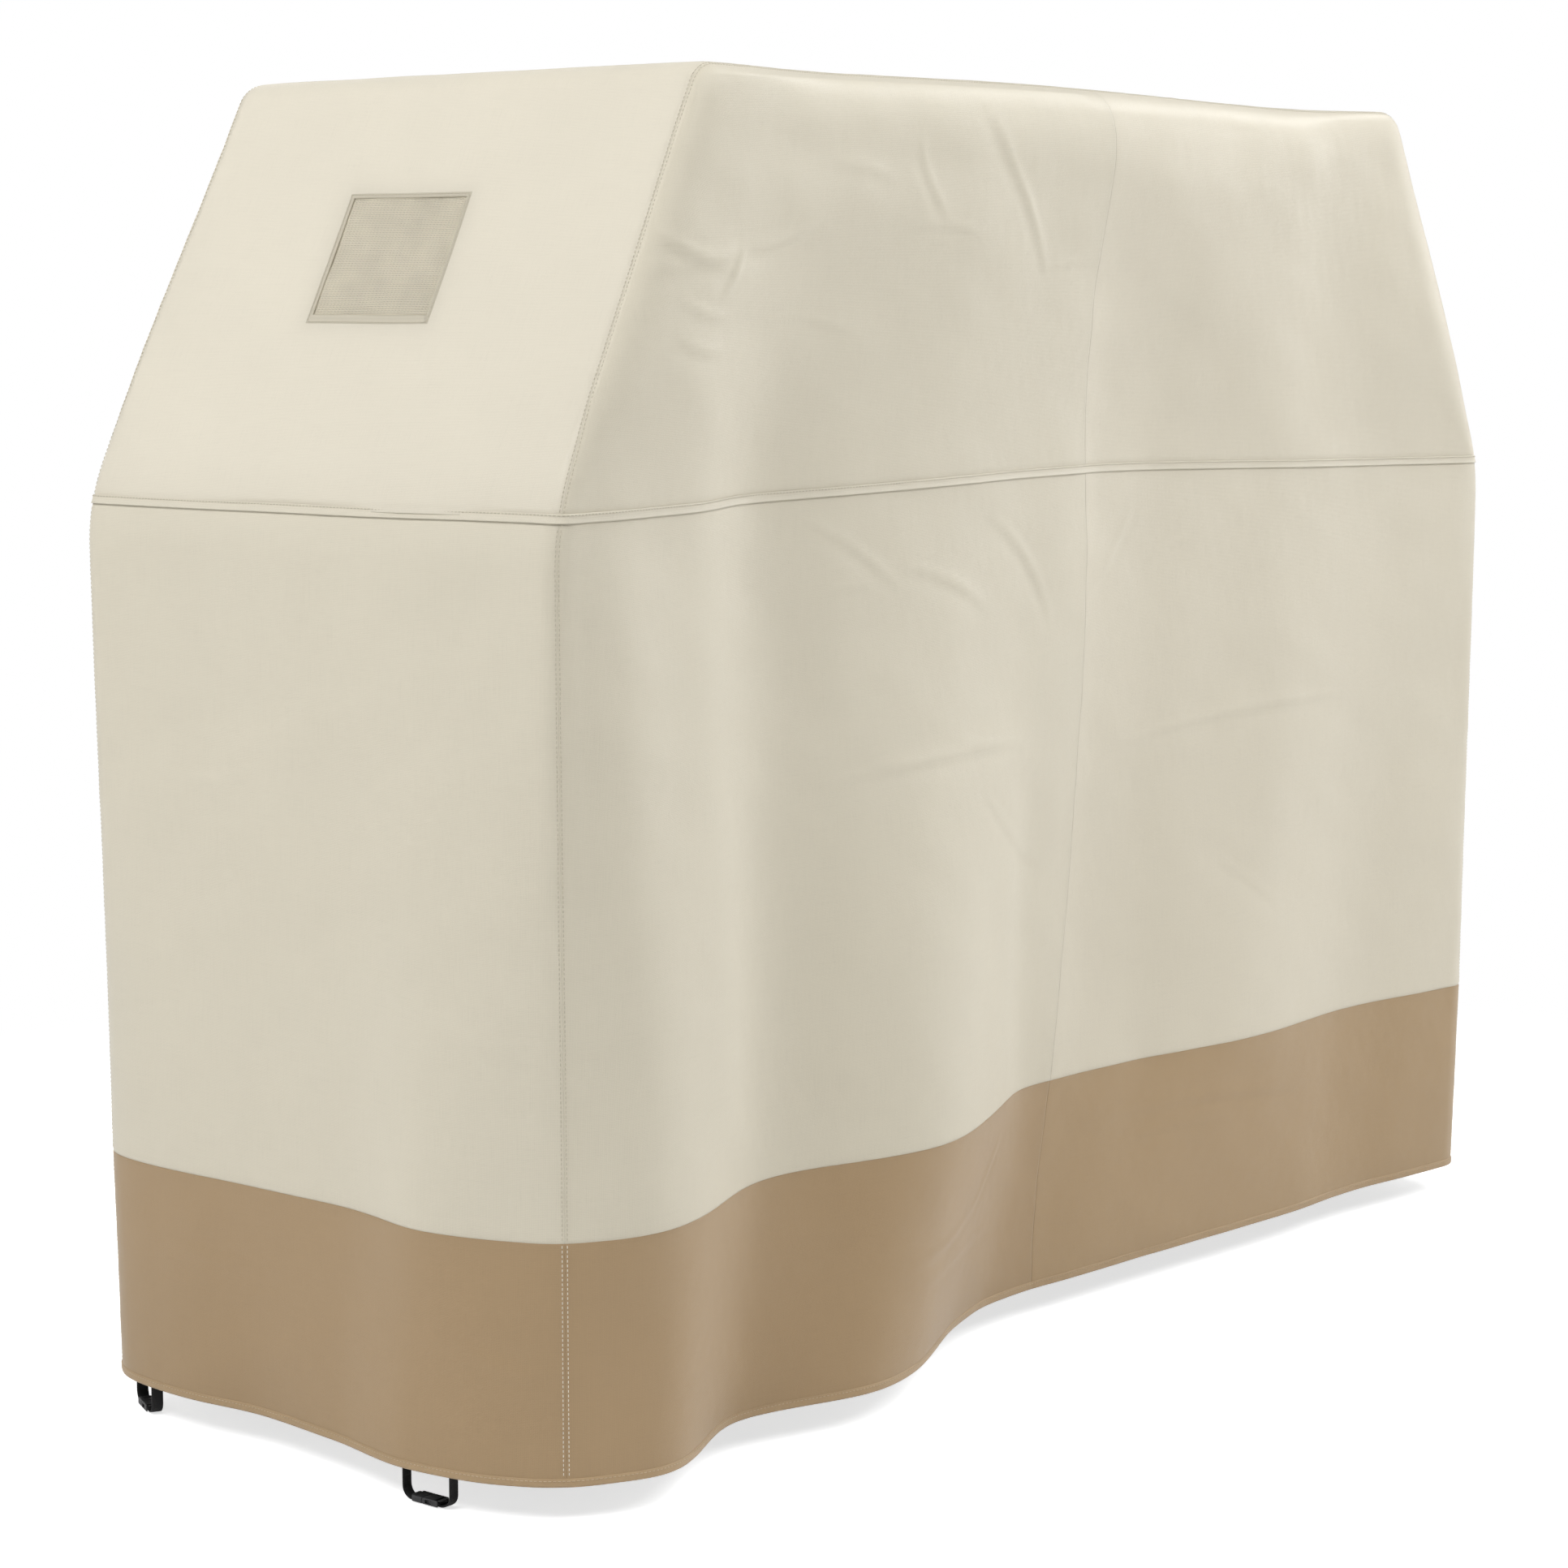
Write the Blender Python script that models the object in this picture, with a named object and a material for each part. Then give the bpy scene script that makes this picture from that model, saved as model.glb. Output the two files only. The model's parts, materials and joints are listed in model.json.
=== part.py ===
"""Fabric grill cover: a sewn shell with sloping ends, two mesh vents and four buckled strap loops.

Metres, +Z up. +X runs along the length to the right end and the front faces -Y. The origin is in the
middle of the footprint, level with the undersides of the hanging buckles.
"""

from math import atan, cos, pi, sin

import bmesh
import bpy
import numpy as np
from mathutils import Vector

# Shell. Heights are measured from the hem.
COVER_LENGTH = 1.626
COVER_DEPTH = 0.593
SKIRT_TOP = 0.221
WAIST = 0.851
TOP = 1.242
END_SET_BACK = 0.200
TOP_CORNER_RADIUS = 0.032
HEM_HEIGHT = 0.032
FABRIC = 0.0015
GAP = 0.0003
TRIM_GAP = 0.0005
CORNER_SHARPNESS = 9

HALF_LENGTH = COVER_LENGTH / 2
HALF_DEPTH = COVER_DEPTH / 2
END_LEAN = END_SET_BACK / (TOP - WAIST)
END_TILT = atan(END_LEAN)

# The soft folds that hang down a wall. Each row is one crest, valley or corner:
# its place along the wall at the hem, skirt top and waist, then how far it stands out there.
FRONT_FOLDS = (
    (-0.813, -0.813, -0.813, -0.0045, -0.0010, 0.000),
    (-0.737, -0.715, -0.700, 0.0330, 0.0320, -0.004),
    (-0.560, -0.515, -0.500, -0.0150, -0.0170, -0.018),
    (-0.400, -0.310, -0.240, 0.0280, 0.0230, -0.030),
    (-0.080, 0.020, 0.100, -0.0680, -0.0640, -0.045),
    (0.115, 0.150, 0.250, -0.0560, -0.0550, -0.045),
    (0.470, 0.400, 0.450, -0.0270, -0.0250, -0.030),
    (0.620, 0.560, 0.620, -0.0265, -0.0260, -0.015),
    (0.813, 0.813, 0.813, -0.0045, -0.0010, 0.000),
)
END_FOLDS = (
    (-0.2965, -0.2965, -0.2965, -0.008, -0.005, 0.000),
    (-0.2250, -0.2300, -0.2300, 0.026, 0.022, 0.000),
    (-0.1450, -0.1650, -0.1500, 0.039, 0.036, 0.003),
    (-0.0300, -0.0500, -0.0300, 0.018, 0.018, 0.003),
    (0.0700, 0.0500, 0.0600, 0.008, 0.014, 0.003),
    (0.2000, 0.2000, 0.2000, 0.014, 0.014, 0.002),
    (0.2500, 0.2500, 0.2500, 0.006, 0.008, 0.001),
    (0.2965, 0.2965, 0.2965, -0.008, -0.005, 0.000),
)

# Sewn trim.
BAND_HALF_HEIGHT = 0.004
BAND_THICKNESS = 0.0012
HEM_BINDING_HEIGHT = 0.008
HEM_BINDING_THICKNESS = 0.0012
VENT_BOTTOM = 1.020
VENT_TOP = 1.132
VENT_NEAR = -0.060
VENT_FAR = 0.080
VENT_BORDER = 0.006
MESH_THICKNESS = 0.0008
MESH_OVERLAP = 0.004

# Hanging straps. Each loop lies in an upright plane just inside an end hem.
# Each row is the end and corner it is near, its place along the end hem, and how far it turns
# to follow the hem's curve.
STRAP_PLACES = (
    ("left", "front", -0.157, 0.0),
    ("left", "back", 0.275, 0.48),
    ("right", "front", -0.157, 0.0),
    ("right", "back", 0.205, 0.0),
)
STRAP_INSET = 0.0120
TAB_INSET = 0.0058
WEBBING_WIDTH = 0.0115
WEBBING_THICKNESS = 0.0010
LOOP_HALF_WIDTH = 0.029
LEG_BEND_RADIUS = 0.011
WEBBING_TAIL = 0.0030
SWING_DROP = 0.007
LEG_TOP_DROP = 0.0030

# The sewn end of a webbing leg, top to bottom: height, distance in from the hem, share of a quarter turn.
TAB_STATIONS = (
    (0.0300, TAB_INSET, 0.0),
    (0.0200, TAB_INSET, 0.0),
    (0.0140, 0.0080, 0.3),
    (0.0085, 0.0104, 0.7),
    (0.0045, STRAP_INSET, 0.9),
    (0.0008, STRAP_INSET, 1.0),
)

# Side-release buckle, along its own length: 0 is the middle, the socket lies on the minus side.
BUCKLE_WIDTH = 0.0160
BUCKLE_THICKNESS = 0.0060
BUCKLE_DROP = HEM_HEIGHT - BUCKLE_THICKNESS / 2
BUCKLE_END = 0.0158
BAR_WIDTH = 0.0020
BAR_THICKNESS = 0.0022
SLOT_WIDTH = 0.0026
WRAP_RADIUS = 0.0023
SOCKET_MOUTH = 0.0030
SOCKET_BACK = -0.0098
CAVITY_WIDTH = 0.0132
CAVITY_HEIGHT = 0.0035
WINDOW_FROM = -0.0084
WINDOW_TO = -0.0008
TONGUE_WIDTH = 0.0030
TONGUE_TIP = -0.0080
PRONG_THICKNESS = 0.0028
PRONG_PIVOT = (0.0046, 0.0027)
PRONG_INNER = 0.0041
PRONG_OUTER = 0.0062
PRONG_TIP = -0.0083
PRONG_TIP_SLANT = 0.0009
PRONG_TIP_RELIEF = 0.0002
RELEASE_TRAVEL = 0.0125
RELEASE_ANGLE = 12 * pi / 180
BUCKLE_ROUNDING = 0.0008
CUT_OVERRUN = 0.001
CUT_OVERLAP = 0.0001

# How finely the walls are divided. A row runs just past the edge of each sewn trim.
ROW_MARGIN = 0.001
FRONT_HALF_COLUMNS = 11
END_COLUMNS = 12
HEM_ROW = HEM_BINDING_HEIGHT + ROW_MARGIN
BAND_ROW = BAND_HALF_HEIGHT + ROW_MARGIN
SKIRT_ROWS = (HEM_BINDING_THICKNESS + GAP, HEM_ROW, 0.115, SKIRT_TOP - GAP / 2)
LOWER_ROWS = (SKIRT_TOP + GAP / 2, 0.41, 0.62, WAIST - BAND_ROW, WAIST - GAP / 2)
SLOPE_ROWS = (WAIST + GAP / 2, WAIST + BAND_ROW, 0.93, VENT_BOTTOM, VENT_TOP)
ARC_STEPS = 3


def remove_everything():
    for item in list(bpy.data.objects):
        bpy.data.objects.remove(item, do_unlink=True)


def make_material(name, colour, roughness, metallic=0.0):
    material = bpy.data.materials.new(name)
    material.use_nodes = True
    shader = material.node_tree.nodes["Principled BSDF"]
    shader.inputs["Base Color"].default_value = (*colour, 1.0)
    shader.inputs["Roughness"].default_value = roughness
    shader.inputs["Metallic"].default_value = metallic
    return material


def add_object(name, mesh, material, parent=None, location=(0, 0, 0)):
    """Puts a mesh in the scene as one named piece with its own copy of a material."""
    own = material.copy()
    own.name = name + "_finish"
    if not mesh.materials:
        mesh.materials.append(None)
    item = bpy.data.objects.new(name, mesh)
    bpy.context.scene.collection.objects.link(item)
    item.material_slots[0].link = "OBJECT"
    item.material_slots[0].material = own
    item.parent = parent
    item.location = location
    return item


def finish_mesh(name, bm):
    """Turns all faces outwards, shades the gentle ones smooth and returns the mesh."""
    bmesh.ops.recalc_face_normals(bm, faces=bm.faces)
    mesh = bpy.data.meshes.new(name)
    bm.to_mesh(mesh)
    bm.free()
    mesh.shade_smooth()
    mesh.set_sharp_from_angle(angle=pi / 5)
    return mesh


def smooth_curve(places, values, at):
    """A smooth curve through (places, values), read at one place."""
    slopes = np.gradient(values, places)
    i = int(np.clip(np.searchsorted(places, at) - 1, 0, len(places) - 2))
    width = places[i + 1] - places[i]
    t = (at - places[i]) / width
    return (
        (1 + 2 * t) * (1 - t) ** 2 * values[i]
        + t * (1 - t) ** 2 * width * slopes[i]
        + t**2 * (3 - 2 * t) * values[i + 1]
        + t**2 * (t - 1) * width * slopes[i + 1]
    )


def ease(t):
    t = min(max(t, 0.0), 1.0)
    return t * t * (3 - 2 * t)


def fold_depth(folds, along, height):
    """How far a wall stands out at a place along it and a height above the hem."""
    table = np.array(folds)
    if height <= SKIRT_TOP:
        share = height / SKIRT_TOP
        low, high, fade = 0, 1, 1.0
    elif height <= WAIST:
        share = ease((height - SKIRT_TOP) / (WAIST - SKIRT_TOP))
        low, high, fade = 1, 2, 1.0
    else:
        share = 0.0
        low, high, fade = 2, 2, 1 - ease((height - WAIST) / (TOP - WAIST))
    places = table[:, low] * (1 - share) + table[:, high] * share
    depths = table[:, 3 + low] * (1 - share) + table[:, 3 + high] * share
    return fade * smooth_curve(places, depths, along)


def drawn_in(fraction, half_length, corner_inset):
    """Place along a wall. An inset wall is drawn in only near its corners, so that they mitre."""
    return fraction * half_length - corner_inset * fraction**CORNER_SHARPNESS


def front_wall(fraction, height, inset=0.0, half_length=None, corner_inset=None):
    """Point on the front wall. Fraction runs from -1 at the left corner to 1 at the right."""
    if half_length is None:
        half_length = HALF_LENGTH + fold_depth(END_FOLDS, HALF_DEPTH, height)
        corner_inset = inset
    stand_out = fold_depth(FRONT_FOLDS, fraction * HALF_LENGTH, height)
    along = drawn_in(fraction, half_length, corner_inset)
    return Vector((along, -(HALF_DEPTH - inset + stand_out), height))


def left_wall(fraction, height, inset=0.0):
    """Point on the left end wall, below the waist. Fraction runs from -1 at the front to 1 at the back."""
    half_depth = HALF_DEPTH + fold_depth(FRONT_FOLDS, HALF_LENGTH, height)
    stand_out = fold_depth(END_FOLDS, fraction * HALF_DEPTH, height)
    along = drawn_in(fraction, half_depth, inset)
    return Vector((-(HALF_LENGTH - inset + stand_out), along, height))


def on_right(point):
    """The same point at the other end."""
    return Vector((-point.x, point.y, point.z))


def on_back(point):
    """The same point on the back wall."""
    return Vector((point.x, -point.y, point.z))


def raised(point):
    return Vector((point.x, point.y, point.z + HEM_HEIGHT))


def slope_distance(height, inset):
    """Distance from the middle of the cover to the sloping end at a height."""
    return HALF_LENGTH - END_LEAN * (height - WAIST) - inset / cos(END_TILT)


def gable_profile(inset):
    """(distance from the middle, height) up the sloping end and round its top corner."""
    rows = [(slope_distance(height, inset), height) for height in SLOPE_ROWS]
    centre_height = TOP - TOP_CORNER_RADIUS
    centre_distance = slope_distance(centre_height, TOP_CORNER_RADIUS)
    radius = TOP_CORNER_RADIUS - inset
    for step in range(ARC_STEPS + 1):
        angle = END_TILT + (pi / 2 - END_TILT) * step / ARC_STEPS
        rows.append((centre_distance + radius * cos(angle), centre_height + radius * sin(angle)))
    return rows


def sheet(name, outer, inner, material, hole=None):
    """A closed panel between two grids of points. Cells for which hole(row, column) is true stay open."""
    bm = bmesh.new()
    faces = [[bm.verts.new(raised(p)) for p in row] for row in outer]
    backs = [[bm.verts.new(raised(p)) for p in row] for row in inner]
    partner = {}
    for face_row, back_row in zip(faces, backs):
        partner.update(zip(face_row, back_row))
    for i in range(len(faces) - 1):
        for j in range(len(faces[0]) - 1):
            if hole and hole(i, j):
                continue
            a, b, c, d = faces[i][j], faces[i][j + 1], faces[i + 1][j + 1], faces[i + 1][j]
            for corners in ((a, b, c), (a, c, d)):
                bm.faces.new(corners)
                bm.faces.new([partner[v] for v in reversed(corners)])
    front_side = set(partner)
    for edge in [e for e in bm.edges if e.is_boundary and e.verts[0] in front_side]:
        a, b = edge.verts
        bm.faces.new((a, b, partner[b]))
        bm.faces.new((a, partner[b], partner[a]))
    return add_object(name, finish_mesh(name, bm), material)


def ring(name, profile, material):
    """A closed band round all four walls. The profile lists (inset, height) corners."""
    loops = []
    front = np.linspace(-1, 1, 2 * FRONT_HALF_COLUMNS + 1)[:-1]
    end = np.linspace(-1, 1, END_COLUMNS + 1)[:-1]
    for inset, height in profile:
        loop = [front_wall(f, height, inset) for f in front]
        loop += [on_right(left_wall(f, height, inset)) for f in end]
        loop += [on_back(front_wall(-f, height, inset)) for f in front]
        loop += [left_wall(-f, height, inset) for f in end]
        loops.append(loop)
    bm = bmesh.new()
    verts = [[bm.verts.new(raised(p)) for p in loop] for loop in loops]
    for k in range(len(verts)):
        for i in range(len(verts[0])):
            a, b = verts[k - 1][i - 1], verts[k - 1][i]
            c, d = verts[k][i], verts[k][i - 1]
            bm.faces.new((a, b, c))
            bm.faces.new((a, c, d))
    return add_object(name, finish_mesh(name, bm), material)


def wall_panel(name, wall, fractions, heights, material, place):
    """One sewn panel of a wall, put on its own side of the cover by place."""
    grids = [
        [[place(wall(f, height, inset)) for f in fractions] for height in heights]
        for inset in (0.0, FABRIC)
    ]
    return sheet(name, *grids, material)


def gable_panel(name, fractions, material, place):
    """Half of a long wall above the waist, up to the top edge and the sloping end."""
    outside = gable_profile(0.0)
    grids = []
    for inset in (0.0, FABRIC):
        rows = [
            [place(front_wall(f, z, inset, x_out, x_out - x)) for f in fractions]
            for (x_out, _), (x, z) in zip(outside, gable_profile(inset))
        ]
        grids.append(rows)
    return sheet(name, *grids, material)


def over_top_panel(material):
    """The length of fabric that climbs one sloping end, crosses the top and comes down the other."""
    across = [-1.0, -0.6, VENT_NEAR / HALF_DEPTH, VENT_FAR / HALF_DEPTH, 0.64, 1.0]
    vent_column = 2
    grids = []
    for inset in (0.0, FABRIC):
        half_depth = HALF_DEPTH - GAP - inset
        climb = gable_profile(inset)
        top_corner = climb[-1][0]
        top = [(-top_corner / 3, TOP - inset), (top_corner / 3, TOP - inset)]
        path = [(-x, z) for x, z in climb] + top + climb[::-1]
        grids.append([[Vector((x, f * half_depth, z)) for f in across] for x, z in path])
    vent_row = SLOPE_ROWS.index(VENT_BOTTOM)
    last_row = len(grids[0]) - 2

    def is_vent(row, column):
        return column == vent_column and row in (vent_row, last_row - vent_row)

    return sheet("over_top_panel", *grids, material, is_vent)


def build_vent(side, place, binding_material, mesh_material):
    """The mesh window in a sloping end, and the binding sewn round its edge."""

    def slope_sheet(name, ys, zs, insets, material, hole=None):
        grids = [
            [[place(Vector((-slope_distance(z, inset), y, z))) for y in ys] for z in zs]
            for inset in insets
        ]
        return sheet(name, *grids, material, hole)

    ys = (VENT_NEAR - VENT_BORDER, VENT_NEAR, VENT_FAR, VENT_FAR + VENT_BORDER)
    zs = (VENT_BOTTOM - VENT_BORDER, VENT_BOTTOM, VENT_TOP, VENT_TOP + VENT_BORDER)
    binding_insets = (-GAP - BAND_THICKNESS, -GAP)
    slope_sheet(side + "_vent_binding", ys, zs, binding_insets, binding_material,
                lambda row, column: row == column == 1)
    ys = (VENT_NEAR - MESH_OVERLAP, VENT_FAR + MESH_OVERLAP)
    zs = (VENT_BOTTOM - MESH_OVERLAP, VENT_TOP + MESH_OVERLAP)
    mesh_insets = (FABRIC + GAP, FABRIC + GAP + MESH_THICKNESS)
    slope_sheet(side + "_vent_mesh", ys, zs, mesh_insets, mesh_material)


def build_shell(cream, cream_top, tan, band_cream, band_tan, mesh_grey):
    middle = GAP / 2 / HALF_LENGTH
    left_half = [*np.linspace(-1, 0, FRONT_HALF_COLUMNS + 1)[:-1], -middle]
    right_half = [middle, *np.linspace(0, 1, FRONT_HALF_COLUMNS + 1)[1:]]
    end_limit = 1 - GAP / HALF_DEPTH
    end = [-end_limit, *np.linspace(-1, 1, END_COLUMNS + 1)[1:-1], end_limit]
    for wall, place in (("front", Vector), ("back", on_back)):
        for half, fractions in (("left", left_half), ("right", right_half)):
            gable_panel(f"{wall}_upper_{half}", fractions, cream, place)
            wall_panel(f"{wall}_lower_{half}", front_wall, fractions, LOWER_ROWS, cream, place)
            wall_panel(f"{wall}_skirt_{half}", front_wall, fractions, SKIRT_ROWS, tan, place)
    for side, place in (("left", Vector), ("right", on_right)):
        wall_panel(f"{side}_end_lower", left_wall, end, LOWER_ROWS, cream, place)
        wall_panel(f"{side}_end_skirt", left_wall, end, SKIRT_ROWS, tan, place)
        build_vent(side, place, band_cream, mesh_grey)
    over_top_panel(cream_top)
    near, far = -TRIM_GAP, -TRIM_GAP - BAND_THICKNESS
    low, high = WAIST - BAND_HALF_HEIGHT, WAIST + BAND_HALF_HEIGHT
    ring("waist_seam_band", [(far, low), (far, high), (near, high), (near, low)], band_cream)
    wrap, thick = FABRIC + TRIM_GAP, HEM_BINDING_THICKNESS
    ring(
        "hem_binding",
        [
            (near - thick, HEM_BINDING_HEIGHT),
            (near - thick, 0),
            (wrap + thick, 0),
            (wrap + thick, HEM_BINDING_HEIGHT),
            (wrap, HEM_BINDING_HEIGHT),
            (wrap, thick),
            (near, thick),
            (near, HEM_BINDING_HEIGHT),
        ],
        band_tan,
    )


def box_mesh(name, low, high):
    """A block between two corners."""
    bm = bmesh.new()
    bmesh.ops.create_cube(bm, size=1)
    low, high = Vector(low), Vector(high)
    for v in bm.verts:
        v.co = [(low[k] + high[k]) / 2 + v.co[k] * (high[k] - low[k]) for k in range(3)]
    return finish_mesh(name, bm)


def carved(name, solid, steps):
    """A mesh made from a block by rounding its edges, then adding or cutting other blocks."""
    base = bpy.data.objects.new(name, solid)
    helpers = [base]
    bpy.context.scene.collection.objects.link(base)
    bevel = base.modifiers.new("rounded_edges", "BEVEL")
    bevel.width = BUCKLE_ROUNDING
    bevel.segments = 2
    for operation, low, high in steps:
        tool = bpy.data.objects.new(name + "_tool", box_mesh(name + "_tool", low, high))
        tool.hide_render = True
        tool.display_type = "WIRE"
        bpy.context.scene.collection.objects.link(tool)
        helpers.append(tool)
        boolean = base.modifiers.new("carve", "BOOLEAN")
        boolean.operation = operation
        boolean.object = tool
    graph = bpy.context.evaluated_depsgraph_get()
    mesh = bpy.data.meshes.new_from_object(base.evaluated_get(graph))
    mesh.name = name
    for helper in helpers:
        bpy.data.objects.remove(helper, do_unlink=True)
    return mesh


def through_slot(start, end):
    """The cut beside a web bar: it runs right through the buckle's thickness."""
    half = CAVITY_WIDTH / 2
    return ("DIFFERENCE", (-half, start, -BUCKLE_THICKNESS), (half, end, BUCKLE_THICKNESS))


def thinned_bar(start, end):
    """Two cuts that leave a web bar thinner than the buckle, so that webbing can wrap it."""
    half = CAVITY_WIDTH / 2
    return [
        ("DIFFERENCE", (-half, start, BAR_THICKNESS / 2), (half, end, BUCKLE_THICKNESS)),
        ("DIFFERENCE", (-half, start, -BUCKLE_THICKNESS), (half, end, -BAR_THICKNESS / 2)),
    ]


def socket_mesh():
    """The hollow half: open at the mouth, with a window in each side for a prong."""
    half, thick = BUCKLE_WIDTH / 2, BUCKLE_THICKNESS / 2
    block = box_mesh("socket", (-half, -BUCKLE_END, -thick), (half, SOCKET_MOUTH, thick))
    room, tall = CAVITY_WIDTH / 2, CAVITY_HEIGHT / 2
    slot_start = -BUCKLE_END + BAR_WIDTH
    wide = half + CUT_OVERRUN
    steps = [
        ("DIFFERENCE", (-room, SOCKET_BACK, -tall), (room, SOCKET_MOUTH + CUT_OVERRUN, tall)),
        ("DIFFERENCE", (-wide, WINDOW_FROM, -tall), (wide, WINDOW_TO, tall)),
        through_slot(slot_start, slot_start + SLOT_WIDTH),
    ]
    steps += thinned_bar(-BUCKLE_END - CUT_OVERRUN, slot_start + CUT_OVERLAP)
    return carved("socket", block, steps)


def plug_mesh():
    """The solid half: a block with a web bar and a tongue that guides it into the socket."""
    half, thick = BUCKLE_WIDTH / 2, BUCKLE_THICKNESS / 2
    front = SOCKET_MOUTH + GAP
    block = box_mesh("plug", (-half, front, -thick), (half, BUCKLE_END, thick))
    slot_end = BUCKLE_END - BAR_WIDTH
    tongue, tall = TONGUE_WIDTH / 2, PRONG_THICKNESS / 2
    steps = [
        ("UNION", (-tongue, TONGUE_TIP, -tall), (tongue, front + CUT_OVERRUN, tall)),
        through_slot(slot_end - SLOT_WIDTH, slot_end),
    ]
    steps += thinned_bar(slot_end - CUT_OVERLAP, BUCKLE_END + CUT_OVERRUN)
    return carved("plug", block, steps)


def prong_mesh(side):
    """One springy prong. Its outer edge swells into the window, as far as lets it leave with a squeeze."""
    pivot_across, pivot_along = PRONG_PIVOT
    squeeze_rate = RELEASE_ANGLE / RELEASE_TRAVEL
    root = SOCKET_MOUTH
    outline = [(PRONG_INNER, root), (PRONG_INNER, PRONG_TIP)]
    outline.append((PRONG_OUTER - PRONG_TIP_RELIEF, PRONG_TIP))
    for along in np.linspace(PRONG_TIP + PRONG_TIP_SLANT, WINDOW_TO, 6):
        past_edge = WINDOW_TO - along
        swell = squeeze_rate * (pivot_along - along) * past_edge
        outline.append((PRONG_OUTER + swell, along))
    outline.append((PRONG_OUTER, root))
    bm = bmesh.new()
    flat = [
        bm.verts.new((side * (across - pivot_across), along - pivot_along, -PRONG_THICKNESS / 2))
        for across, along in outline
    ]
    face = bm.faces.new(flat)
    lifted = bmesh.ops.extrude_face_region(bm, geom=[face])["geom"]
    moved = [item for item in lifted if isinstance(item, bmesh.types.BMVert)]
    bmesh.ops.translate(bm, verts=moved, vec=(0, 0, PRONG_THICKNESS))
    return finish_mesh("prong", bm)


def ribbon_mesh(name, centre):
    """Flat webbing whose edge-on centre line lies in the loop's plane, as (along, height) points."""
    line = np.array(centre)
    steps = np.diff(line, axis=0)
    steps /= np.linalg.norm(steps, axis=1)[:, None]
    normals = np.column_stack([-steps[:, 1], steps[:, 0]])
    corners = np.vstack([normals[:1], normals[:-1] + normals[1:], normals[-1:]])
    corners /= (corners * np.vstack([normals, normals[-1:]])).sum(axis=1)[:, None]
    offset = corners * WEBBING_THICKNESS / 2
    outline = np.vstack([line + offset, (line - offset)[::-1]])
    bm = bmesh.new()
    face = bm.faces.new([bm.verts.new((-WEBBING_WIDTH / 2, u, z)) for u, z in outline])
    lifted = bmesh.ops.extrude_face_region(bm, geom=[face])["geom"]
    moved = [item for item in lifted if isinstance(item, bmesh.types.BMVert)]
    bmesh.ops.translate(bm, verts=moved, vec=(WEBBING_WIDTH, 0, 0))
    return finish_mesh(name, bm)


def arc_points(centre, radius, start, end, steps):
    angles = np.linspace(start, end, steps + 1)
    return [(centre[0] + radius * cos(a), centre[1] + radius * sin(a)) for a in angles]


def leg_line(side):
    """Centre line of one hanging leg: down, round a bend, and about its web bar. Side -1 is the socket's."""
    bottom = -BUCKLE_DROP - WRAP_RADIUS
    bar_middle = BUCKLE_END - BAR_WIDTH / 2
    line = [(LOOP_HALF_WIDTH, -LEG_TOP_DROP)]
    bend = (LOOP_HALF_WIDTH - LEG_BEND_RADIUS, bottom + LEG_BEND_RADIUS)
    line += arc_points(bend, LEG_BEND_RADIUS, 0, -pi / 2, 4)
    turn = (bar_middle, -BUCKLE_DROP)
    line += arc_points(turn, WRAP_RADIUS, -pi / 2, -3 * pi / 2, 7)
    line.append((bar_middle + WEBBING_TAIL, -BUCKLE_DROP + WRAP_RADIUS))
    return [(side * u, z + SWING_DROP) for u, z in line]


def strap_tab(name, place, leg_y, material):
    """The sewn end of a webbing leg: flat against the hem's inside, then turned edge-on below it."""
    grids = []
    for face in (-1, 1):
        rows = []
        for height, inward, turn in TAB_STATIONS:
            angle = turn * pi / 2
            wide = Vector((sin(angle), cos(angle), 0)) * WEBBING_WIDTH / 2
            thin = Vector((-cos(angle), sin(angle), 0)) * WEBBING_THICKNESS / 2 * face
            centre = Vector((inward - STRAP_INSET, leg_y, height))
            rows.append([place(centre - wide + thin), place(centre + wide + thin)])
        grids.append(rows)
    return sheet(name, *grids, material)


def strap_spot(along, turn):
    """(place, heading) of a left-end loop: just inside the hem, its plane turned to follow the hem."""
    inward = Vector((cos(turn), -sin(turn), 0))
    hem = left_wall(along / HALF_DEPTH, 0.0)
    reach = LOOP_HALF_WIDTH + WEBBING_WIDTH / 2
    nearest = 0.0
    for step in (-reach, reach):
        side = left_wall((along + step * cos(turn)) / HALF_DEPTH, 0.0)
        nearest = max(nearest, (side - hem).dot(inward))
    return hem + inward * (nearest + STRAP_INSET), -turn


def build_strap(name, spot, heading, meshes, black, dark):
    """One buckled loop. Its empty sits on the axis it swings about, just below the hem."""
    axis = bpy.data.objects.new(name + "_swing_axis", None)
    bpy.context.scene.collection.objects.link(axis)
    axis.location = (spot.x, spot.y, HEM_HEIGHT - SWING_DROP)
    axis.rotation_euler.z = heading

    def place(point):
        along_x = point.x * cos(heading) - point.y * sin(heading)
        along_y = point.x * sin(heading) + point.y * cos(heading)
        return Vector((spot.x + along_x, spot.y + along_y, point.z))

    add_object(name + "_socket_webbing", meshes["socket_leg"], black, axis)
    add_object(name + "_plug_webbing", meshes["plug_leg"], black, axis)
    buckle = (0, 0, SWING_DROP - BUCKLE_DROP)
    add_object(name + "_socket", meshes["socket"], dark, axis, buckle)
    add_object(name + "_plug", meshes["plug"], dark, axis, buckle)
    across, along = PRONG_PIVOT
    for label, side in (("inner", 1), ("outer", -1)):
        pivot = (side * across, along, buckle[2])
        add_object(f"{name}_{label}_prong", meshes[label], dark, axis, pivot)
    strap_tab(name + "_socket_tab", place, -LOOP_HALF_WIDTH, black)
    strap_tab(name + "_plug_tab", place, LOOP_HALF_WIDTH, black)


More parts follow.
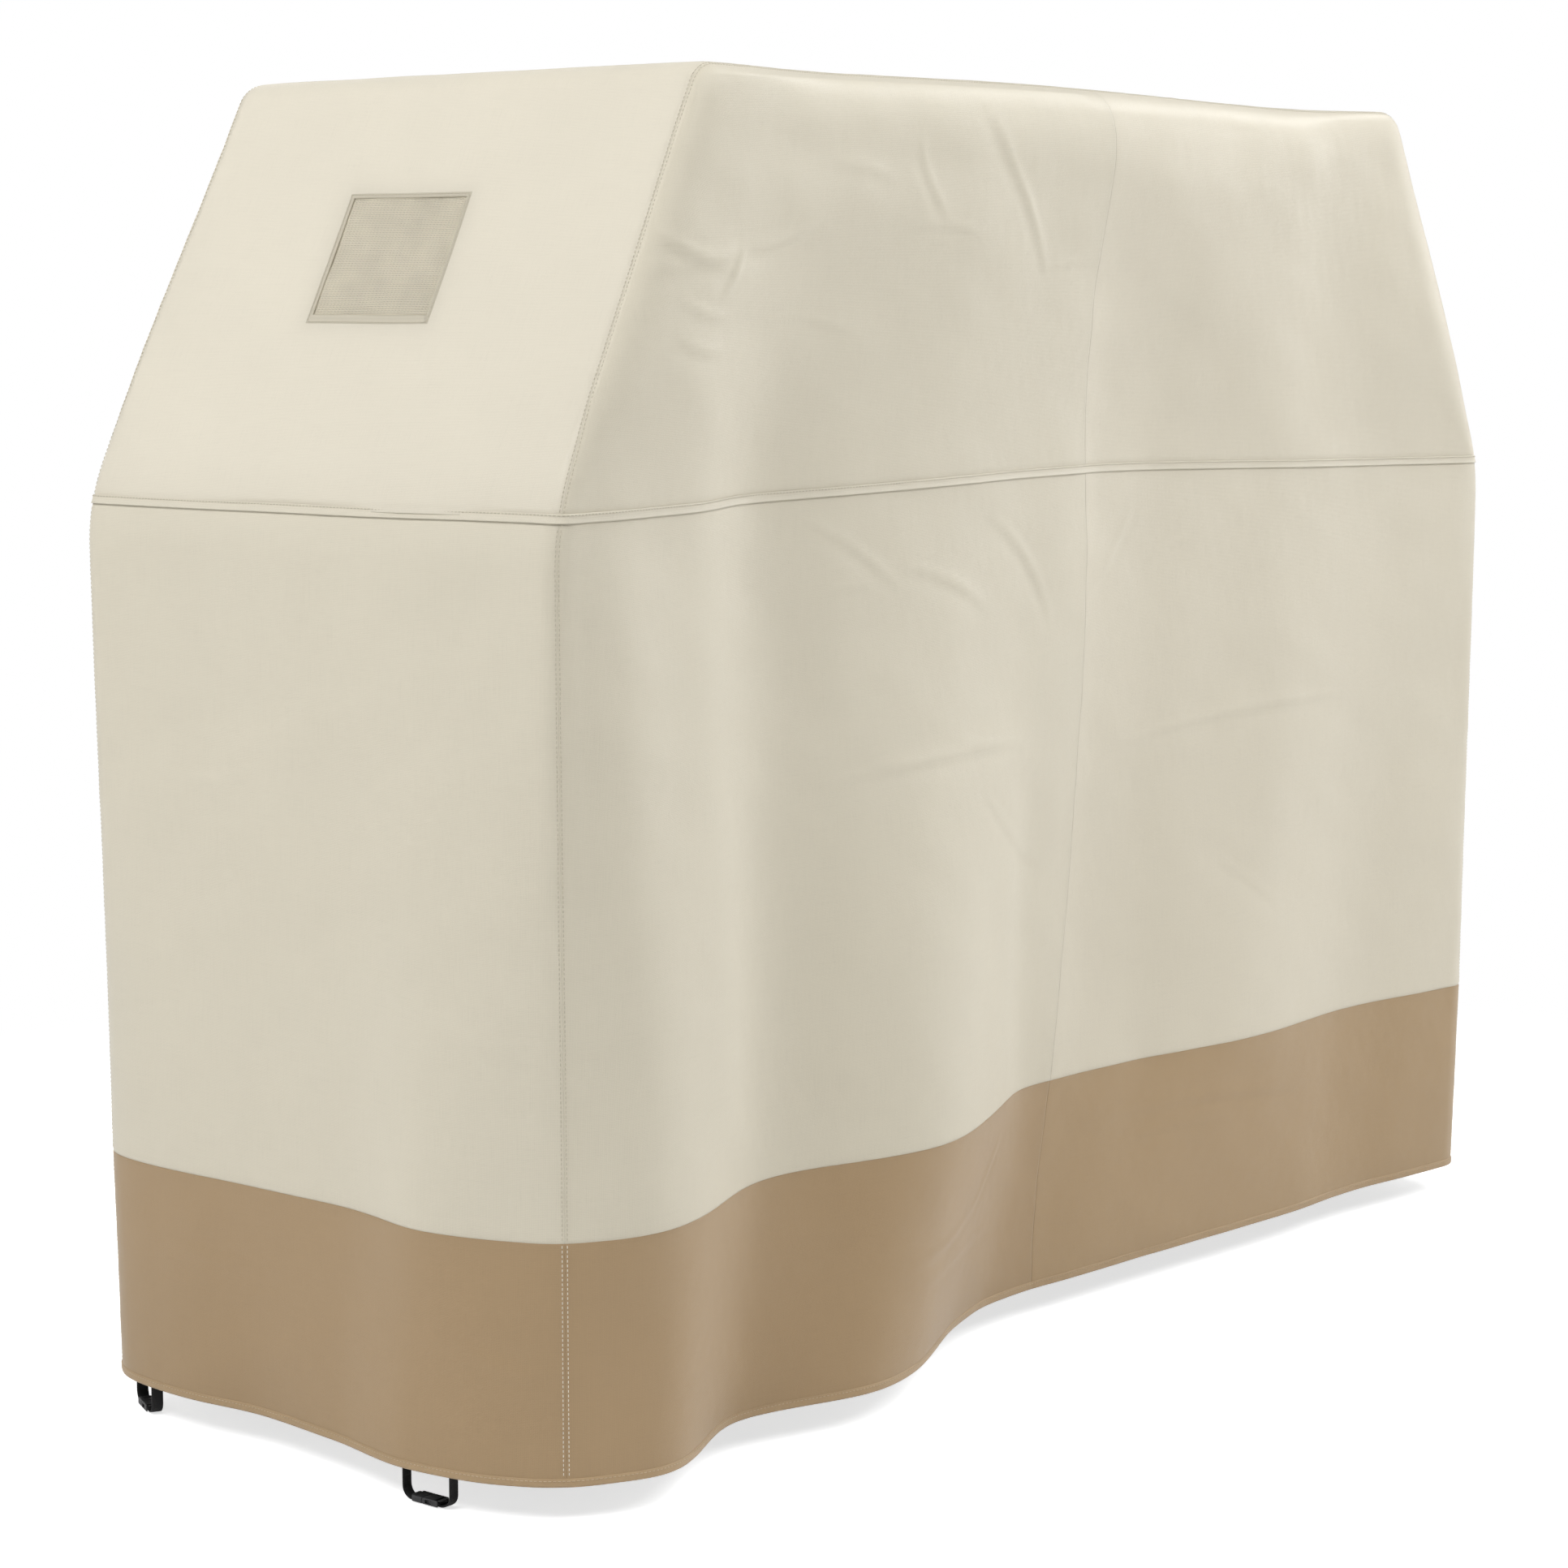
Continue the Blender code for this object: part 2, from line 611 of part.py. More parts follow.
def build_straps(black, dark):
    meshes = {
        "socket": socket_mesh(),
        "plug": plug_mesh(),
        "inner": prong_mesh(1),
        "outer": prong_mesh(-1),
        "socket_leg": ribbon_mesh("socket_leg", leg_line(-1)),
        "plug_leg": ribbon_mesh("plug_leg", leg_line(1)),
    }
    for side, label, along, turn in STRAP_PLACES:
        spot, heading = strap_spot(along, turn)
        if side == "right":
            spot, heading = on_right(spot), pi - heading
        build_strap(f"{side}_{label}_strap", spot, heading, meshes, black, dark)


def main():
    remove_everything()
    cream = make_material("cream_fabric", (0.67, 0.62, 0.50), 0.62)
    cream_top = make_material("cream_fabric_top", (0.72, 0.67, 0.56), 0.62)
    tan = make_material("tan_fabric", (0.38, 0.27, 0.165), 0.62)
    band_cream = make_material("cream_band", (0.69, 0.64, 0.52), 0.6)
    band_tan = make_material("tan_band", (0.42, 0.30, 0.19), 0.6)
    mesh_grey = make_material("vent_mesh", (0.55, 0.52, 0.41), 0.8)
    black = make_material("black_webbing", (0.012, 0.012, 0.013), 0.75)
    dark = make_material("buckle_plastic", (0.03, 0.03, 0.032), 0.4)
    build_shell(cream, cream_top, tan, band_cream, band_tan, mesh_grey)
    build_straps(black, dark)


main()
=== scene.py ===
"""Finished look of the fabric grill cover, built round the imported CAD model.

Metres, +Z up, in the CAD's own frame. Every sewn panel is a displaced sheet on one shared surface, so that
neighbouring panels meet at their seams. Heights are measured from the hem.
"""

import json
from math import atan, cos, pi, radians, sin

import bpy
import numpy as np
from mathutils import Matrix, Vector


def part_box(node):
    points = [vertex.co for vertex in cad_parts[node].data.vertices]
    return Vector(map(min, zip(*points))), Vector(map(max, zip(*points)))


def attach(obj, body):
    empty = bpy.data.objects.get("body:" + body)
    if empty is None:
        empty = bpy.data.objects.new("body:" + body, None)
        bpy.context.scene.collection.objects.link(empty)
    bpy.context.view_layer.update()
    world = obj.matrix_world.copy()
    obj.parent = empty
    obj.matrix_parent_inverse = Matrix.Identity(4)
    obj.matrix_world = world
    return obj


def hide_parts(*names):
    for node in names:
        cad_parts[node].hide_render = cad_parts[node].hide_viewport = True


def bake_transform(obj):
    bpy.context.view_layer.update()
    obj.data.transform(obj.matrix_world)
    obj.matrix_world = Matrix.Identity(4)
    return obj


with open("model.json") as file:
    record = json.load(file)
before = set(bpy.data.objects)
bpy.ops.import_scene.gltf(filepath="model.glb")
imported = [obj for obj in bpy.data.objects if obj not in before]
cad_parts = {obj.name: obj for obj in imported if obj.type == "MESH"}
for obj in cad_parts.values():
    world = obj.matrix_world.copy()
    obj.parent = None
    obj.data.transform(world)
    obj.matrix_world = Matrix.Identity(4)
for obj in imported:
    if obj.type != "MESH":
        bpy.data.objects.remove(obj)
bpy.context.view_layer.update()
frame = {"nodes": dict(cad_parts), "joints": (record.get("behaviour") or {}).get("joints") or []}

# Driving dimensions, read from the CAD pieces.
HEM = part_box("hem_binding")[0].z
SKIRT_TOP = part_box("left_end_skirt")[1].z - HEM
WAIST = (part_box("waist_seam_band")[0].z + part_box("waist_seam_band")[1].z) / 2 - HEM
HALF_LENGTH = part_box("over_top_panel")[1].x
HALF_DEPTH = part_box("over_top_panel")[1].y
TOP_LIFT = 0.004
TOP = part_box("over_top_panel")[1].z - HEM + TOP_LIFT
VENT_OVERLAP = 0.004
VENT_LOW, VENT_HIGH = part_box("left_vent_mesh")
VENT_NEAR = VENT_LOW.y + VENT_OVERLAP
VENT_FAR = VENT_HIGH.y - VENT_OVERLAP
VENT_BOTTOM = VENT_LOW.z + VENT_OVERLAP - HEM
VENT_TOP = VENT_HIGH.z - VENT_OVERLAP - HEM

# Shape of the ends and of the rounded edges. Three values are for the waist, the slope and the top.
END_SET_BACK = 0.200
END_LEAN = END_SET_BACK / (TOP - WAIST)
END_TILT = atan(END_LEAN)
TOP_CORNER_RADIUS = 0.034
WAIST_TURN = 0.045
WAIST_CORNER_RADIUS = 0.020
HEM_CORNER_RADIUS = 0.032
WALL_EDGE_RADII = (0.020, 0.046, 0.046)
TOP_EDGE_RADII = (0.020, 0.022, 0.022)
WALL_SHARES = (0.5, 0.85, 0.82)
ROW_SPREADS = (1.3, 1.8, 2.0)
SLOPE_RAMP = 0.12
TOP_ROUND_DOWN = 0.024
TOP_ROUND_IN = 0.036
TOP_ROUND_START = 0.22

# Slack: the cover isn't quite square. The back left and front right corners bag outward, the ends spread
# above the waist, the front's waist is drawn up, its middle seam is pulled aside and the top is crowned.
BACK_BAG = 0.0085
BACK_WAIST_BAG = 0.0065
FRONT_BAG = 0.0080
UPPER_SPREAD = 0.008
WAIST_RISE = 0.014
CROWN = 0.0065
RIGHT_RISE = 0.003
SEAM_PULL_LOW, SEAM_PULL_HIGH = 0.064, 0.040


def millimetres(*rows):
    return np.array(rows) / 1000


# The soft folds that hang down a wall. Each row is one crest, valley or corner:
# its place along the wall at the hem, skirt top and waist, then how far it stands out there.
FRONT_FOLDS = millimetres(
    (-813, -813, -813, -4.5, -1, 0), (-737, -715, -700, 33, 32, 0), (-560, -515, -520, -15, -17.5, -31),
    (-400, -310, -290, 28, 23, -24), (-80, 20, 100, -68, -64, -45), (115, 150, 250, -56, -55, -45),
    (470, 400, 450, -27, -25, -30), (620, 560, 620, -26.5, -26, -15), (813, 813, 813, -4.5, -1, 0),
)
END_FOLDS = millimetres(
    (-296.5, -296.5, -296.5, -8, -5, 0), (-225, -230, -230, 26, 22, 0), (-145, -165, -150, 39, 36, 3),
    (-30, -50, -30, 18, 18, 3), (70, 50, 60, 8, 14, 3), (200, 200, 200, 14, 14, 2),
    (250, 250, 250, 6, 8, 1), (296.5, 296.5, 296.5, -8, -5, 0),
)

# Long soft ripples of the front and back: place at the hem, waist and top, height of the ripple, half
# width, and the heights above the hem between which it shows. A valley's height is negative.
RIPPLES = millimetres(
    (-742, -735, -640, 5, 44, 100, 900), (-590, -605, -612, 5, 44, 220, 1040),
    (-470, -488, -525, -6, 58, 160, 1000), (-250, -260, -260, 3, 80, 100, 660),
    (-30, -50, -50, -6, 42, 100, 620), (-200, -210, -200, 3, 120, 180, 1200),
    (70, 78, 60, -4, 48, 180, 1180), (148, 156, 140, -8.5, 85, 180, 1180),
    (330, 450, 120, 5, 85, 120, 1200), (600, 620, 420, -4, 75, 100, 1200),
)

# Creases pressed into the cloth: place and height of one end, then of the other, sideways bow, ridge height
# and half width.
FRONT_CREASES = millimetres(
    (-600, 1185, -100, 1165, 0, -4.8, 53), (60, 1190, 420, 1185, 0, -3.2, 46),
    (-200, 1225, -60, 1055, 12, 2, 11), (-292, 1190, -240, 1110, -8, 1.6, 9),
    (-690, 1100, -560, 1082, -16, 3, 10), (-560, 1082, -440, 1110, -6, 2.6, 10),
    (-560, 1085, -600, 1035, 6, 2.2, 9), (-690, 1055, -570, 1062, 10, 2.2, 9),
    (-660, 1040, -580, 1020, -6, 1.8, 9), (-665, 1005, -590, 992, -7, 2, 9),
    (-510, 1020, -360, 1000, 6, 1.2, 9), (-430, 1160, -330, 1150, 6, 1.6, 12),
    (-300, 1105, -190, 1100, 5, 1.2, 8), (-85, 1065, 30, 1075, 0, 1, 7), (-440, 830, -300, 755, 6, 1.7, 9),
    (-420, 752, -345, 762, 4, 1.3, 8), (-300, 775, -140, 722, 8, 1.8, 10), (-150, 815, -10, 700, 18, 2, 10),
    (75, 730, 160, 812, -6, 1.3, 10), (190, 752, 260, 775, 4, 1, 8), (-450, 580, -50, 588, 10, 2.1, 9),
    (-240, 610, -60, 590, -4, 1.2, 8), (120, 562, 560, 592, 12, 2, 10), (-175, 555, 10, 455, -10, 1.6, 10),
    (300, 430, 430, 355, 4, 1, 9), (-345, 112, -180, 132, -6, 2, 10), (-200, 125, -90, 186, -8, 2.2, 9),
    (-320, 85, -60, 88, 4, 1.2, 9), (120, 168, 470, 146, 8, 1.8, 10), (150, 135, 330, 140, 4, 1, 8),
)
END_CREASES = millimetres(
    (-30, 462, -285, 378, 6, 1.4, 10), (-190, 580, -286, 508, 4, 1.2, 9), (180, 592, 50, 612, 3, 1.1, 9),
    (110, 545, 70, 480, 4, 0.9, 9), (100, 800, 60, 760, 3, 0.8, 9), (-190, 128, -280, 96, 3, 1.3, 10),
    (190, 150, 60, 142, 3, 0.9, 10),
)

# Shares of the heights and half widths above that the creases are pressed to.
CREASE_DEPTH = 0.72
CREASE_WIDTH = 0.52

# Cloth, trim and thread.
CLOTH = 0.0010
BAND_HALF_HEIGHT = 0.0042
ROW_OFFSET = 0.0023
STITCH_PITCH = 0.0042
STITCH_LENGTH = 0.0031
STITCH_RADIUS = 0.00038
VENT_STITCH_RADIUS = 0.0003
COARSE_STEP = 0.0048
EDGE_STRIP = 0.03
SPREAD_STEP = 0.0015
WEAVE_PITCH = 0.0011
TRIM_PITCH = 0.0009

# Small relief. Each pair is the height and half width of a pressed line.
SEAM_GROOVE = (-0.00028, 0.0010)
ROW_DIMPLE = (-0.00022, 0.0007)
WAIST_ROW = (-0.0004, 0.0010)
WAIST_TUCK = (-0.0005, 0.0045)
HEM_DIP = (-0.0004, 0.010)
JOIN_GROOVE = (-0.0004, 0.0012)
JOIN_RIDGE = (0.0003, 0.003)
TOP_ROLL = (0.0018, 0.0060)
PUCKER_HEIGHT = 0.00022
PUCKER_PITCH = 0.035
PUCKER_REACH = 0.016
RIM_FADE = 0.05
BACK_SHIFT = 0.05

# Sections of the folded trim, as height and stand-out round the section. The waist band's heights are in
# parts of its half height, the hem's from its lower edge and the vent edge's from the opening.
BAND_SECTION = (
    (0.98, -0.0003), (0.90, 0.0006), (0.74, 0.0009), (0.50, 0.0007), (-0.30, 0.0008), (-0.80, 0.0012),
    (-1.00, 0.0014), (-1.06, 0.0011), (-1.04, 0.0006), (-0.90, 0.0003), (-0.40, -0.0012), (0.60, -0.0012),
)
BAND_LIFT = 0.0007
HEM_SECTION = millimetres(
    (8.2, -0.4), (7.9, 0.6), (7.0, 0.9), (5.2, 1.0), (3.0, 1.3), (1.2, 1.3), (0.2, 0.7), (-0.2, -0.4),
    (0.4, -1.8), (2.0, -2.4), (7.0, -2.2), (8.0, -1.4),
)
HEM_LEVEL = 0.004
VENT_SECTION = millimetres(
    (4.4, -0.4), (4.1, 0.1), (3.4, 0.3), (2.4, 0.2), (1.0, 0.3), (0.0, 0.2), (-0.6, -0.3), (-0.6, -1.4),
    (1.0, -1.8), (4.0, -1.6),
)
VENT_BOTTOM_HEM = 0.0045
VENT_ROW_OFFSET = 0.0026
VENT_DEPTH = 0.0018

# Straps, as in the CAD.
LOOP_HALF_WIDTH = 0.029
LEG_BEND_RADIUS = 0.011
WEBBING_WIDTH = 0.0115
WEBBING_THICKNESS = 0.0011
BUCKLE_DROP = 0.029
BUCKLE_END = 0.0158
BAR_WIDTH = 0.0020
WRAP_RADIUS = 0.0023
STRAP_INSET = 0.0120
TAB_INSET = 0.0056
PLUG_SPLIT = -0.012
WEBBING_SECTION = (
    (-1.0, 0.0), (-0.94, 0.75), (-0.6, 1.0), (-0.2, 0.92), (0.2, 0.92), (0.6, 1.0), (0.94, 0.75),
    (1.0, 0.0), (0.94, -0.75), (0.6, -1.0), (0.2, -0.92), (-0.2, -0.92), (-0.6, -1.0), (-0.94, -0.75),
)

# Studio.
FLOOR = -0.001
FLOOR_REACH = 30.0
FLOOR_GLOW = 0.70
WHITE_FROM, WHITE_TO = 0.8, 1.9
FILL = 0.09
AIM = (0.0, 0.0, 0.65)
LIGHTS = (
    ("right_softbox", (5.0, -1.8, 1.9), (1.8, 2.2), 67),
    ("left_back_softbox", (-4.2, 3.2, 2.0), (2.0, 2.0), 27),
    ("top_front_softbox", (0.5, -3.4, 4.0), (2.2, 2.2), 121),
    ("top_right_softbox", (4.6, -0.9, 4.2), (1.3, 1.3), 78),
    ("top_left_softbox", (-3.4, 0.0, 4.0), (2.2, 2.2), 128),
    ("top_back_softbox", (-2.4, 3.2, 3.6), (2.2, 2.2), 30),
    ("back_softbox", (1.8, 5.0, 2.2), (2.6, 2.6), 70),
)

# Camera.
CAMERA_PLACE = (-3.150, -2.409, HEM + 1.034)
CAMERA_YAW = 51.39
CAMERA_PITCH = 7.375
CAMERA_LENS = 85.1


# ---- curves and folds


def ease(t):
    t = np.clip(t, 0.0, 1.0)
    return t * t * (3 - 2 * t)


def mix(a, b, share):
    return a * (1 - share) + b * share


def bump(distance, width):
    return np.exp(-((distance / width) ** 2))


def smooth_curve(places, values, at):
    """A smooth curve through each row of (places, values), read at one place of each row."""
    width = np.diff(places, axis=1)
    rise = np.diff(values, axis=1) / width
    slopes = np.empty_like(places)
    slopes[:, 0], slopes[:, -1] = rise[:, 0], rise[:, -1]
    slopes[:, 1:-1] = (width[:, :-1] * rise[:, 1:] + width[:, 1:] * rise[:, :-1]) / (
        width[:, :-1] + width[:, 1:]
    )
    i = (at[:, None] >= places[:, 1:-1]).sum(axis=1)
    row = np.arange(len(at))
    w = width[row, i]
    t = (at - places[row, i]) / w
    return (
        (1 + 2 * t) * (1 - t) ** 2 * values[row, i]
        + t * (1 - t) ** 2 * w * slopes[row, i]
        + t**2 * (3 - 2 * t) * values[row, i + 1]
        + t**2 * (t - 1) * w * slopes[row, i + 1]
    )


def fold_depth(folds, along, z):
    """How far a wall stands out at places along it and heights above the hem."""
    along, z = np.broadcast_arrays(np.asarray(along, float), np.asarray(z, float))
    shape, along, z = along.shape, along.ravel(), z.ravel()
    low = np.clip(z / SKIRT_TOP, -0.1, 1)[:, None]
    high = ease((z - SKIRT_TOP) / (WAIST - SKIRT_TOP))[:, None]
    at = [mix(mix(folds[:, k], folds[:, k + 1], low), folds[:, k + 2], high) for k in (0, 3)]
    fade = 1 - ease((z - WAIST) / (TOP - WAIST))
    return (fade * smooth_curve(at[0], at[1], along)).reshape(shape)


def end_line(z):
    """Distance from the middle to an end wall's plain line: upright, then leaning in above the waist."""
    t = z - WAIST
    turning = (t + WAIST_TURN) ** 2 / (4 * WAIST_TURN)
    rise = np.where(t > WAIST_TURN, t, np.where(t < -WAIST_TURN, 0.0, turning))
    return HALF_LENGTH - END_LEAN * rise


def corner_radius(z):
    return mix(HEM_CORNER_RADIUS, WAIST_CORNER_RADIUS, ease(z / WAIST))


def edge_value(z, values):
    """A value of the rounded edge above the waist, from its values at the waist, up the slope and on top."""
    slope = mix(values[0], values[1], ease((z - WAIST) / SLOPE_RAMP))
    return mix(slope, values[2], ease((z - TOP + 0.06) / 0.05))


def away_from_corners(x):
    return ease((ARC_PLACE - np.abs(x)) / TOP_ROUND_START)


def wall_edge_radius(x, z):
    """How far the rounding reaches into a long wall: furthest along the top, away from the corners."""
    return edge_value(z, WALL_EDGE_RADII) + TOP_ROUND_DOWN * away_from_corners(x)


def top_edge_radius(x, z):
    """How far the rounding reaches into the over-top panel."""
    return edge_value(z, TOP_EDGE_RADII) + TOP_ROUND_IN * away_from_corners(x)


def side_of(value):
    return np.where(value < 0, -1.0, 1.0)


def points(x, y, z):
    return np.stack(np.broadcast_arrays(x, y, z), axis=-1).astype(float)


def unit(vectors):
    return vectors / np.linalg.norm(vectors, axis=-1, keepdims=True)


def round_off(plain, distance, radius, own, edge, other, share=0.5):
    """Replaces a sharp edge by a curve from own to other, one on each side of it. The share is how far along
    the curve this panel reaches before its seam."""
    t = (share * (1 - np.minimum(distance, radius) / radius))[..., None]
    curved = (1 - t) ** 2 * own + 2 * t * (1 - t) * edge + t**2 * other
    return np.where((distance < radius)[..., None], curved, plain)


# ---- the shared surface


def wall_half_length(z):
    return end_line(z) + fold_depth(END_FOLDS, HALF_DEPTH, z)


def wall_half_depth(z):
    return HALF_DEPTH + fold_depth(FRONT_FOLDS, HALF_LENGTH, z)


def wall_corner(way_x, way_y, z):
    """(radius, point on the long wall, corner, point on the end wall) where two walls meet."""
    radius, length, depth = corner_radius(z), wall_half_length(z), wall_half_depth(z)
    long_stand = fold_depth(FRONT_FOLDS, way_x * (1 - radius / length) * HALF_LENGTH, z)
    end_stand = fold_depth(END_FOLDS, way_y * (1 - radius / depth) * HALF_DEPTH, z)
    on_long = points(way_x * (length - radius), way_y * (HALF_DEPTH + long_stand), z)
    corner = points(way_x * length, way_y * depth, z)
    on_end = points(way_x * (end_line(z) + end_stand), way_y * (depth - radius), z)
    return radius, on_long, corner, on_end


def middle_seam(z, way):
    """Where a long wall's middle seam hangs. The front's is pulled aside."""
    if way > 0:
        return 0.0 * z
    return mix(SEAM_PULL_LOW, SEAM_PULL_HIGH, ease((z - WAIST + 0.10) / 0.35)) * ease(z / 0.5)


def long_wall(x, z, way):
    """Front (way -1) or back (way 1) wall below the waist."""
    length = wall_half_length(z)
    stand = fold_depth(FRONT_FOLDS, x / length * HALF_LENGTH, z)
    plain = points(x, way * (HALF_DEPTH + stand), z)
    radius, own, corner, other = wall_corner(side_of(x), way, z)
    return round_off(plain, length - np.abs(x), radius, own, corner, other)


def end_wall(y, z, way):
    """Left (way -1) or right (way 1) wall below the waist."""
    depth = wall_half_depth(z)
    stand = fold_depth(END_FOLDS, y / depth * HALF_DEPTH, z)
    plain = points(way * (end_line(z) + stand), y, z)
    radius, other, corner, own = wall_corner(way, side_of(y), z)
    return round_off(plain, depth - np.abs(y), radius, own, corner, other)


ARC_HEIGHT = TOP - TOP_CORNER_RADIUS
ARC_PLACE = HALF_LENGTH - END_LEAN * (ARC_HEIGHT - WAIST) - TOP_CORNER_RADIUS / cos(END_TILT)


def gable_half_length(z):
    """Half the length of a long wall above the waist, up the slope and round the top corner."""
    above = np.clip(z - ARC_HEIGHT, 0, TOP_CORNER_RADIUS)
    arc = ARC_PLACE + np.sqrt(np.maximum(TOP_CORNER_RADIUS**2 - above**2, 0))
    return np.where(z > ARC_HEIGHT + TOP_CORNER_RADIUS * sin(END_TILT), arc, end_line(z))


def slope_lean(z):
    return END_LEAN * np.clip((z - WAIST + WAIST_TURN) / (2 * WAIST_TURN), 0, 1)


def gable_edge(x, z):
    """(distance to the edge of a long wall above the waist, sideways and upward parts of the way there)."""
    out, up = np.abs(x) - ARC_PLACE, z - ARC_HEIGHT
    angle = np.arctan2(up, out)
    reach = np.hypot(out, up)
    tilt = np.arctan(slope_lean(z))
    to_slope = (end_line(z) - np.abs(x)) * np.cos(tilt)
    to_top = TOP - z
    in_arc = (angle > END_TILT) & (angle < pi / 2)
    on_slope = to_slope < to_top
    safe = np.maximum(reach, 1e-6)
    distance = np.where(in_arc, TOP_CORNER_RADIUS - reach, np.where(on_slope, to_slope, to_top))
    sideways = np.where(in_arc, out / safe, np.where(on_slope, np.cos(tilt), 0.0))
    upward = np.where(in_arc, up / safe, np.where(on_slope, np.sin(tilt), 1.0))
    return distance, sideways, upward


def gable(x, z, way):
    """Front (way -1) or back (way 1) wall above the waist."""
    distance, sideways, upward = gable_edge(x, z)
    side = side_of(x)
    edge_x, edge_z = np.abs(x) + distance * sideways, z + distance * upward
    radius = wall_edge_radius(edge_x, edge_z)
    edge = points(side * edge_x, way * HALF_DEPTH, edge_z)
    own = points(side * (edge_x - radius * sideways), way * HALF_DEPTH, edge_z - radius * upward)
    other = points(side * edge_x, way * (HALF_DEPTH - top_edge_radius(edge_x, edge_z)), edge_z)
    share = edge_value(edge_z, WALL_SHARES)
    surface = round_off(points(x, way * HALF_DEPTH, z), distance, radius, own, edge, other, share)
    stand = fold_depth(FRONT_FOLDS, x / gable_half_length(z) * HALF_LENGTH, z)
    surface[..., 1] += way * stand * ease(distance / (1.6 * radius))
    return surface


def climb_line():
    """(travel, distance from the middle, height, slope angle) along the over-top panel's left half."""
    low = np.linspace(WAIST, ARC_HEIGHT + TOP_CORNER_RADIUS * sin(END_TILT), 200)
    turn = np.linspace(END_TILT, pi / 2, 40)[1:]
    x = np.concatenate([end_line(low), ARC_PLACE + TOP_CORNER_RADIUS * np.cos(turn), [0.0]])
    z = np.concatenate([low, ARC_HEIGHT + TOP_CORNER_RADIUS * np.sin(turn), [TOP]])
    angle = np.concatenate([np.arctan(slope_lean(low)), turn, [pi / 2]])
    travel = np.concatenate([[0.0], np.cumsum(np.hypot(np.diff(x), np.diff(z)))])
    return travel, x, z, angle


CLIMB = climb_line()
HALF_TRAVEL = CLIMB[0][-1]


def on_climb(s):
    """(distance from the middle, height, slope angle) at a place along the over-top panel."""
    return [np.interp(HALF_TRAVEL - np.abs(s), CLIMB[0], column) for column in CLIMB[1:]]


def over_top(s, y):
    """The over-top panel. s runs from -HALF_TRAVEL at the left waist to HALF_TRAVEL at the right one."""
    s, y = np.broadcast_arrays(np.asarray(s, float), np.asarray(y, float))
    x, z, angle = on_climb(s)
    way, side = side_of(s), side_of(y)
    out, up = np.cos(angle), np.sin(angle)
    radius, wall_radius = top_edge_radius(x, z), wall_edge_radius(x, z)
    edge = points(way * x, side * HALF_DEPTH, z)
    own = points(way * x, side * (HALF_DEPTH - radius), z)
    other = points(way * (x - wall_radius * out), side * HALF_DEPTH, z - wall_radius * up)
    share = 1 - edge_value(z, WALL_SHARES)
    surface = round_off(points(way * x, y, z), HALF_DEPTH - np.abs(y), radius, own, edge, other, share)
    surface[..., 0] += way * fold_depth(END_FOLDS, y, WAIST) * (1 - ease((z - WAIST) / SLOPE_RAMP))
    return surface


# ---- relief


def soft_noise(u, v, seed, size, waves=14):
    """Smooth random height, about -1 to 1, with swells of one size."""
    rng = np.random.default_rng(seed)
    total = np.zeros(np.broadcast(u, v).shape)
    for _ in range(waves):
        direction, phase = rng.uniform(0, 2 * pi, 2)
        pitch = size * rng.uniform(0.7, 1.6)
        total += np.cos(2 * pi * (u * cos(direction) + v * sin(direction)) / pitch + phase)
    return total / (waves / 2) ** 0.5 / 1.4


def crease_height(creases, u, v):
    """Pinched ridges with a shallow valley beside each, faded at both ends."""
    total = np.zeros(np.broadcast(u, v).shape)
    for u0, v0, u1, v1, bow, height, width in creases:
        length = np.hypot(u1 - u0, v1 - v0)
        du, dv = (u1 - u0) / length, (v1 - v0) / length
        along = ((u - u0) * du + (v - v0) * dv) / length
        inside = 1 - np.clip(np.abs(2 * along - 1), 0, 1) ** 2.5
        across = (u - u0) * -dv + (v - v0) * du - bow * 4 * along * (1 - along)
        ridge = bump(across, CREASE_WIDTH * width)
        valley = 0.6 * bump(across + 1.8 * CREASE_WIDTH * width, 1.6 * CREASE_WIDTH * width)
        total += CREASE_DEPTH * height * inside * (ridge - valley)
    return total


def drape(u, v, seed):
    """The slight unevenness of hanging cloth."""
    swell = 0.0014 * soft_noise(u, v * 0.6, seed, 0.26)
    ripple = 0.00040 * soft_noise(u, v, seed + 1, 0.085)
    fine = 0.00007 * soft_noise(u, v, seed + 2, 0.028)
    return swell + ripple + fine


def ripple_height(x, z):
    """The long ripples of a wall, each fading in and out up its height."""
    total = np.zeros(np.broadcast(x, z).shape)
    for low, middle, high, height, width, start, end in RIPPLES:
        upper = np.clip((z - WAIST) / (TOP - WAIST), 0, 1)
        place = np.where(z > WAIST, mix(middle, high, upper), mix(low, middle, ease(z / WAIST)))
        fade = ease((z - start) / 0.16) * ease((end - z) / 0.16)
        total += height * fade * bump(x - place, width)
    return total


def line_relief(distance, line):
    """A pressed line, at a distance from its middle."""
    return line[0] * bump(distance, line[1])


def seam_relief(distance, along, seed, rows=(ROW_OFFSET,)):
    """A sewn seam: a fine groove, a dimpled line under each stitch row, and puckers that die away."""
    pull = line_relief(distance, SEAM_GROOVE) + sum(line_relief(distance - row, ROW_DIMPLE) for row in rows)
    pucker = PUCKER_HEIGHT * soft_noise(along, along * 0, seed, PUCKER_PITCH)
    return pull + pucker * np.exp(-distance / PUCKER_REACH) * ease(distance / 0.004)


def waist_relief(z):
    """The line of stitches above the waist band, and the lower panels going in under it."""
    return line_relief(z - WAIST - BAND_HALF_HEIGHT - 0.0003, WAIST_ROW) + line_relief(z - WAIST, WAIST_TUCK)


def low_relief(z):
    """The plain join where the skirt is sewn on, and the hem."""
    join = line_relief(z - SKIRT_TOP, JOIN_GROOVE) + line_relief(z - SKIRT_TOP - 0.004, JOIN_RIDGE)
    return join + line_relief(z, HEM_DIP)


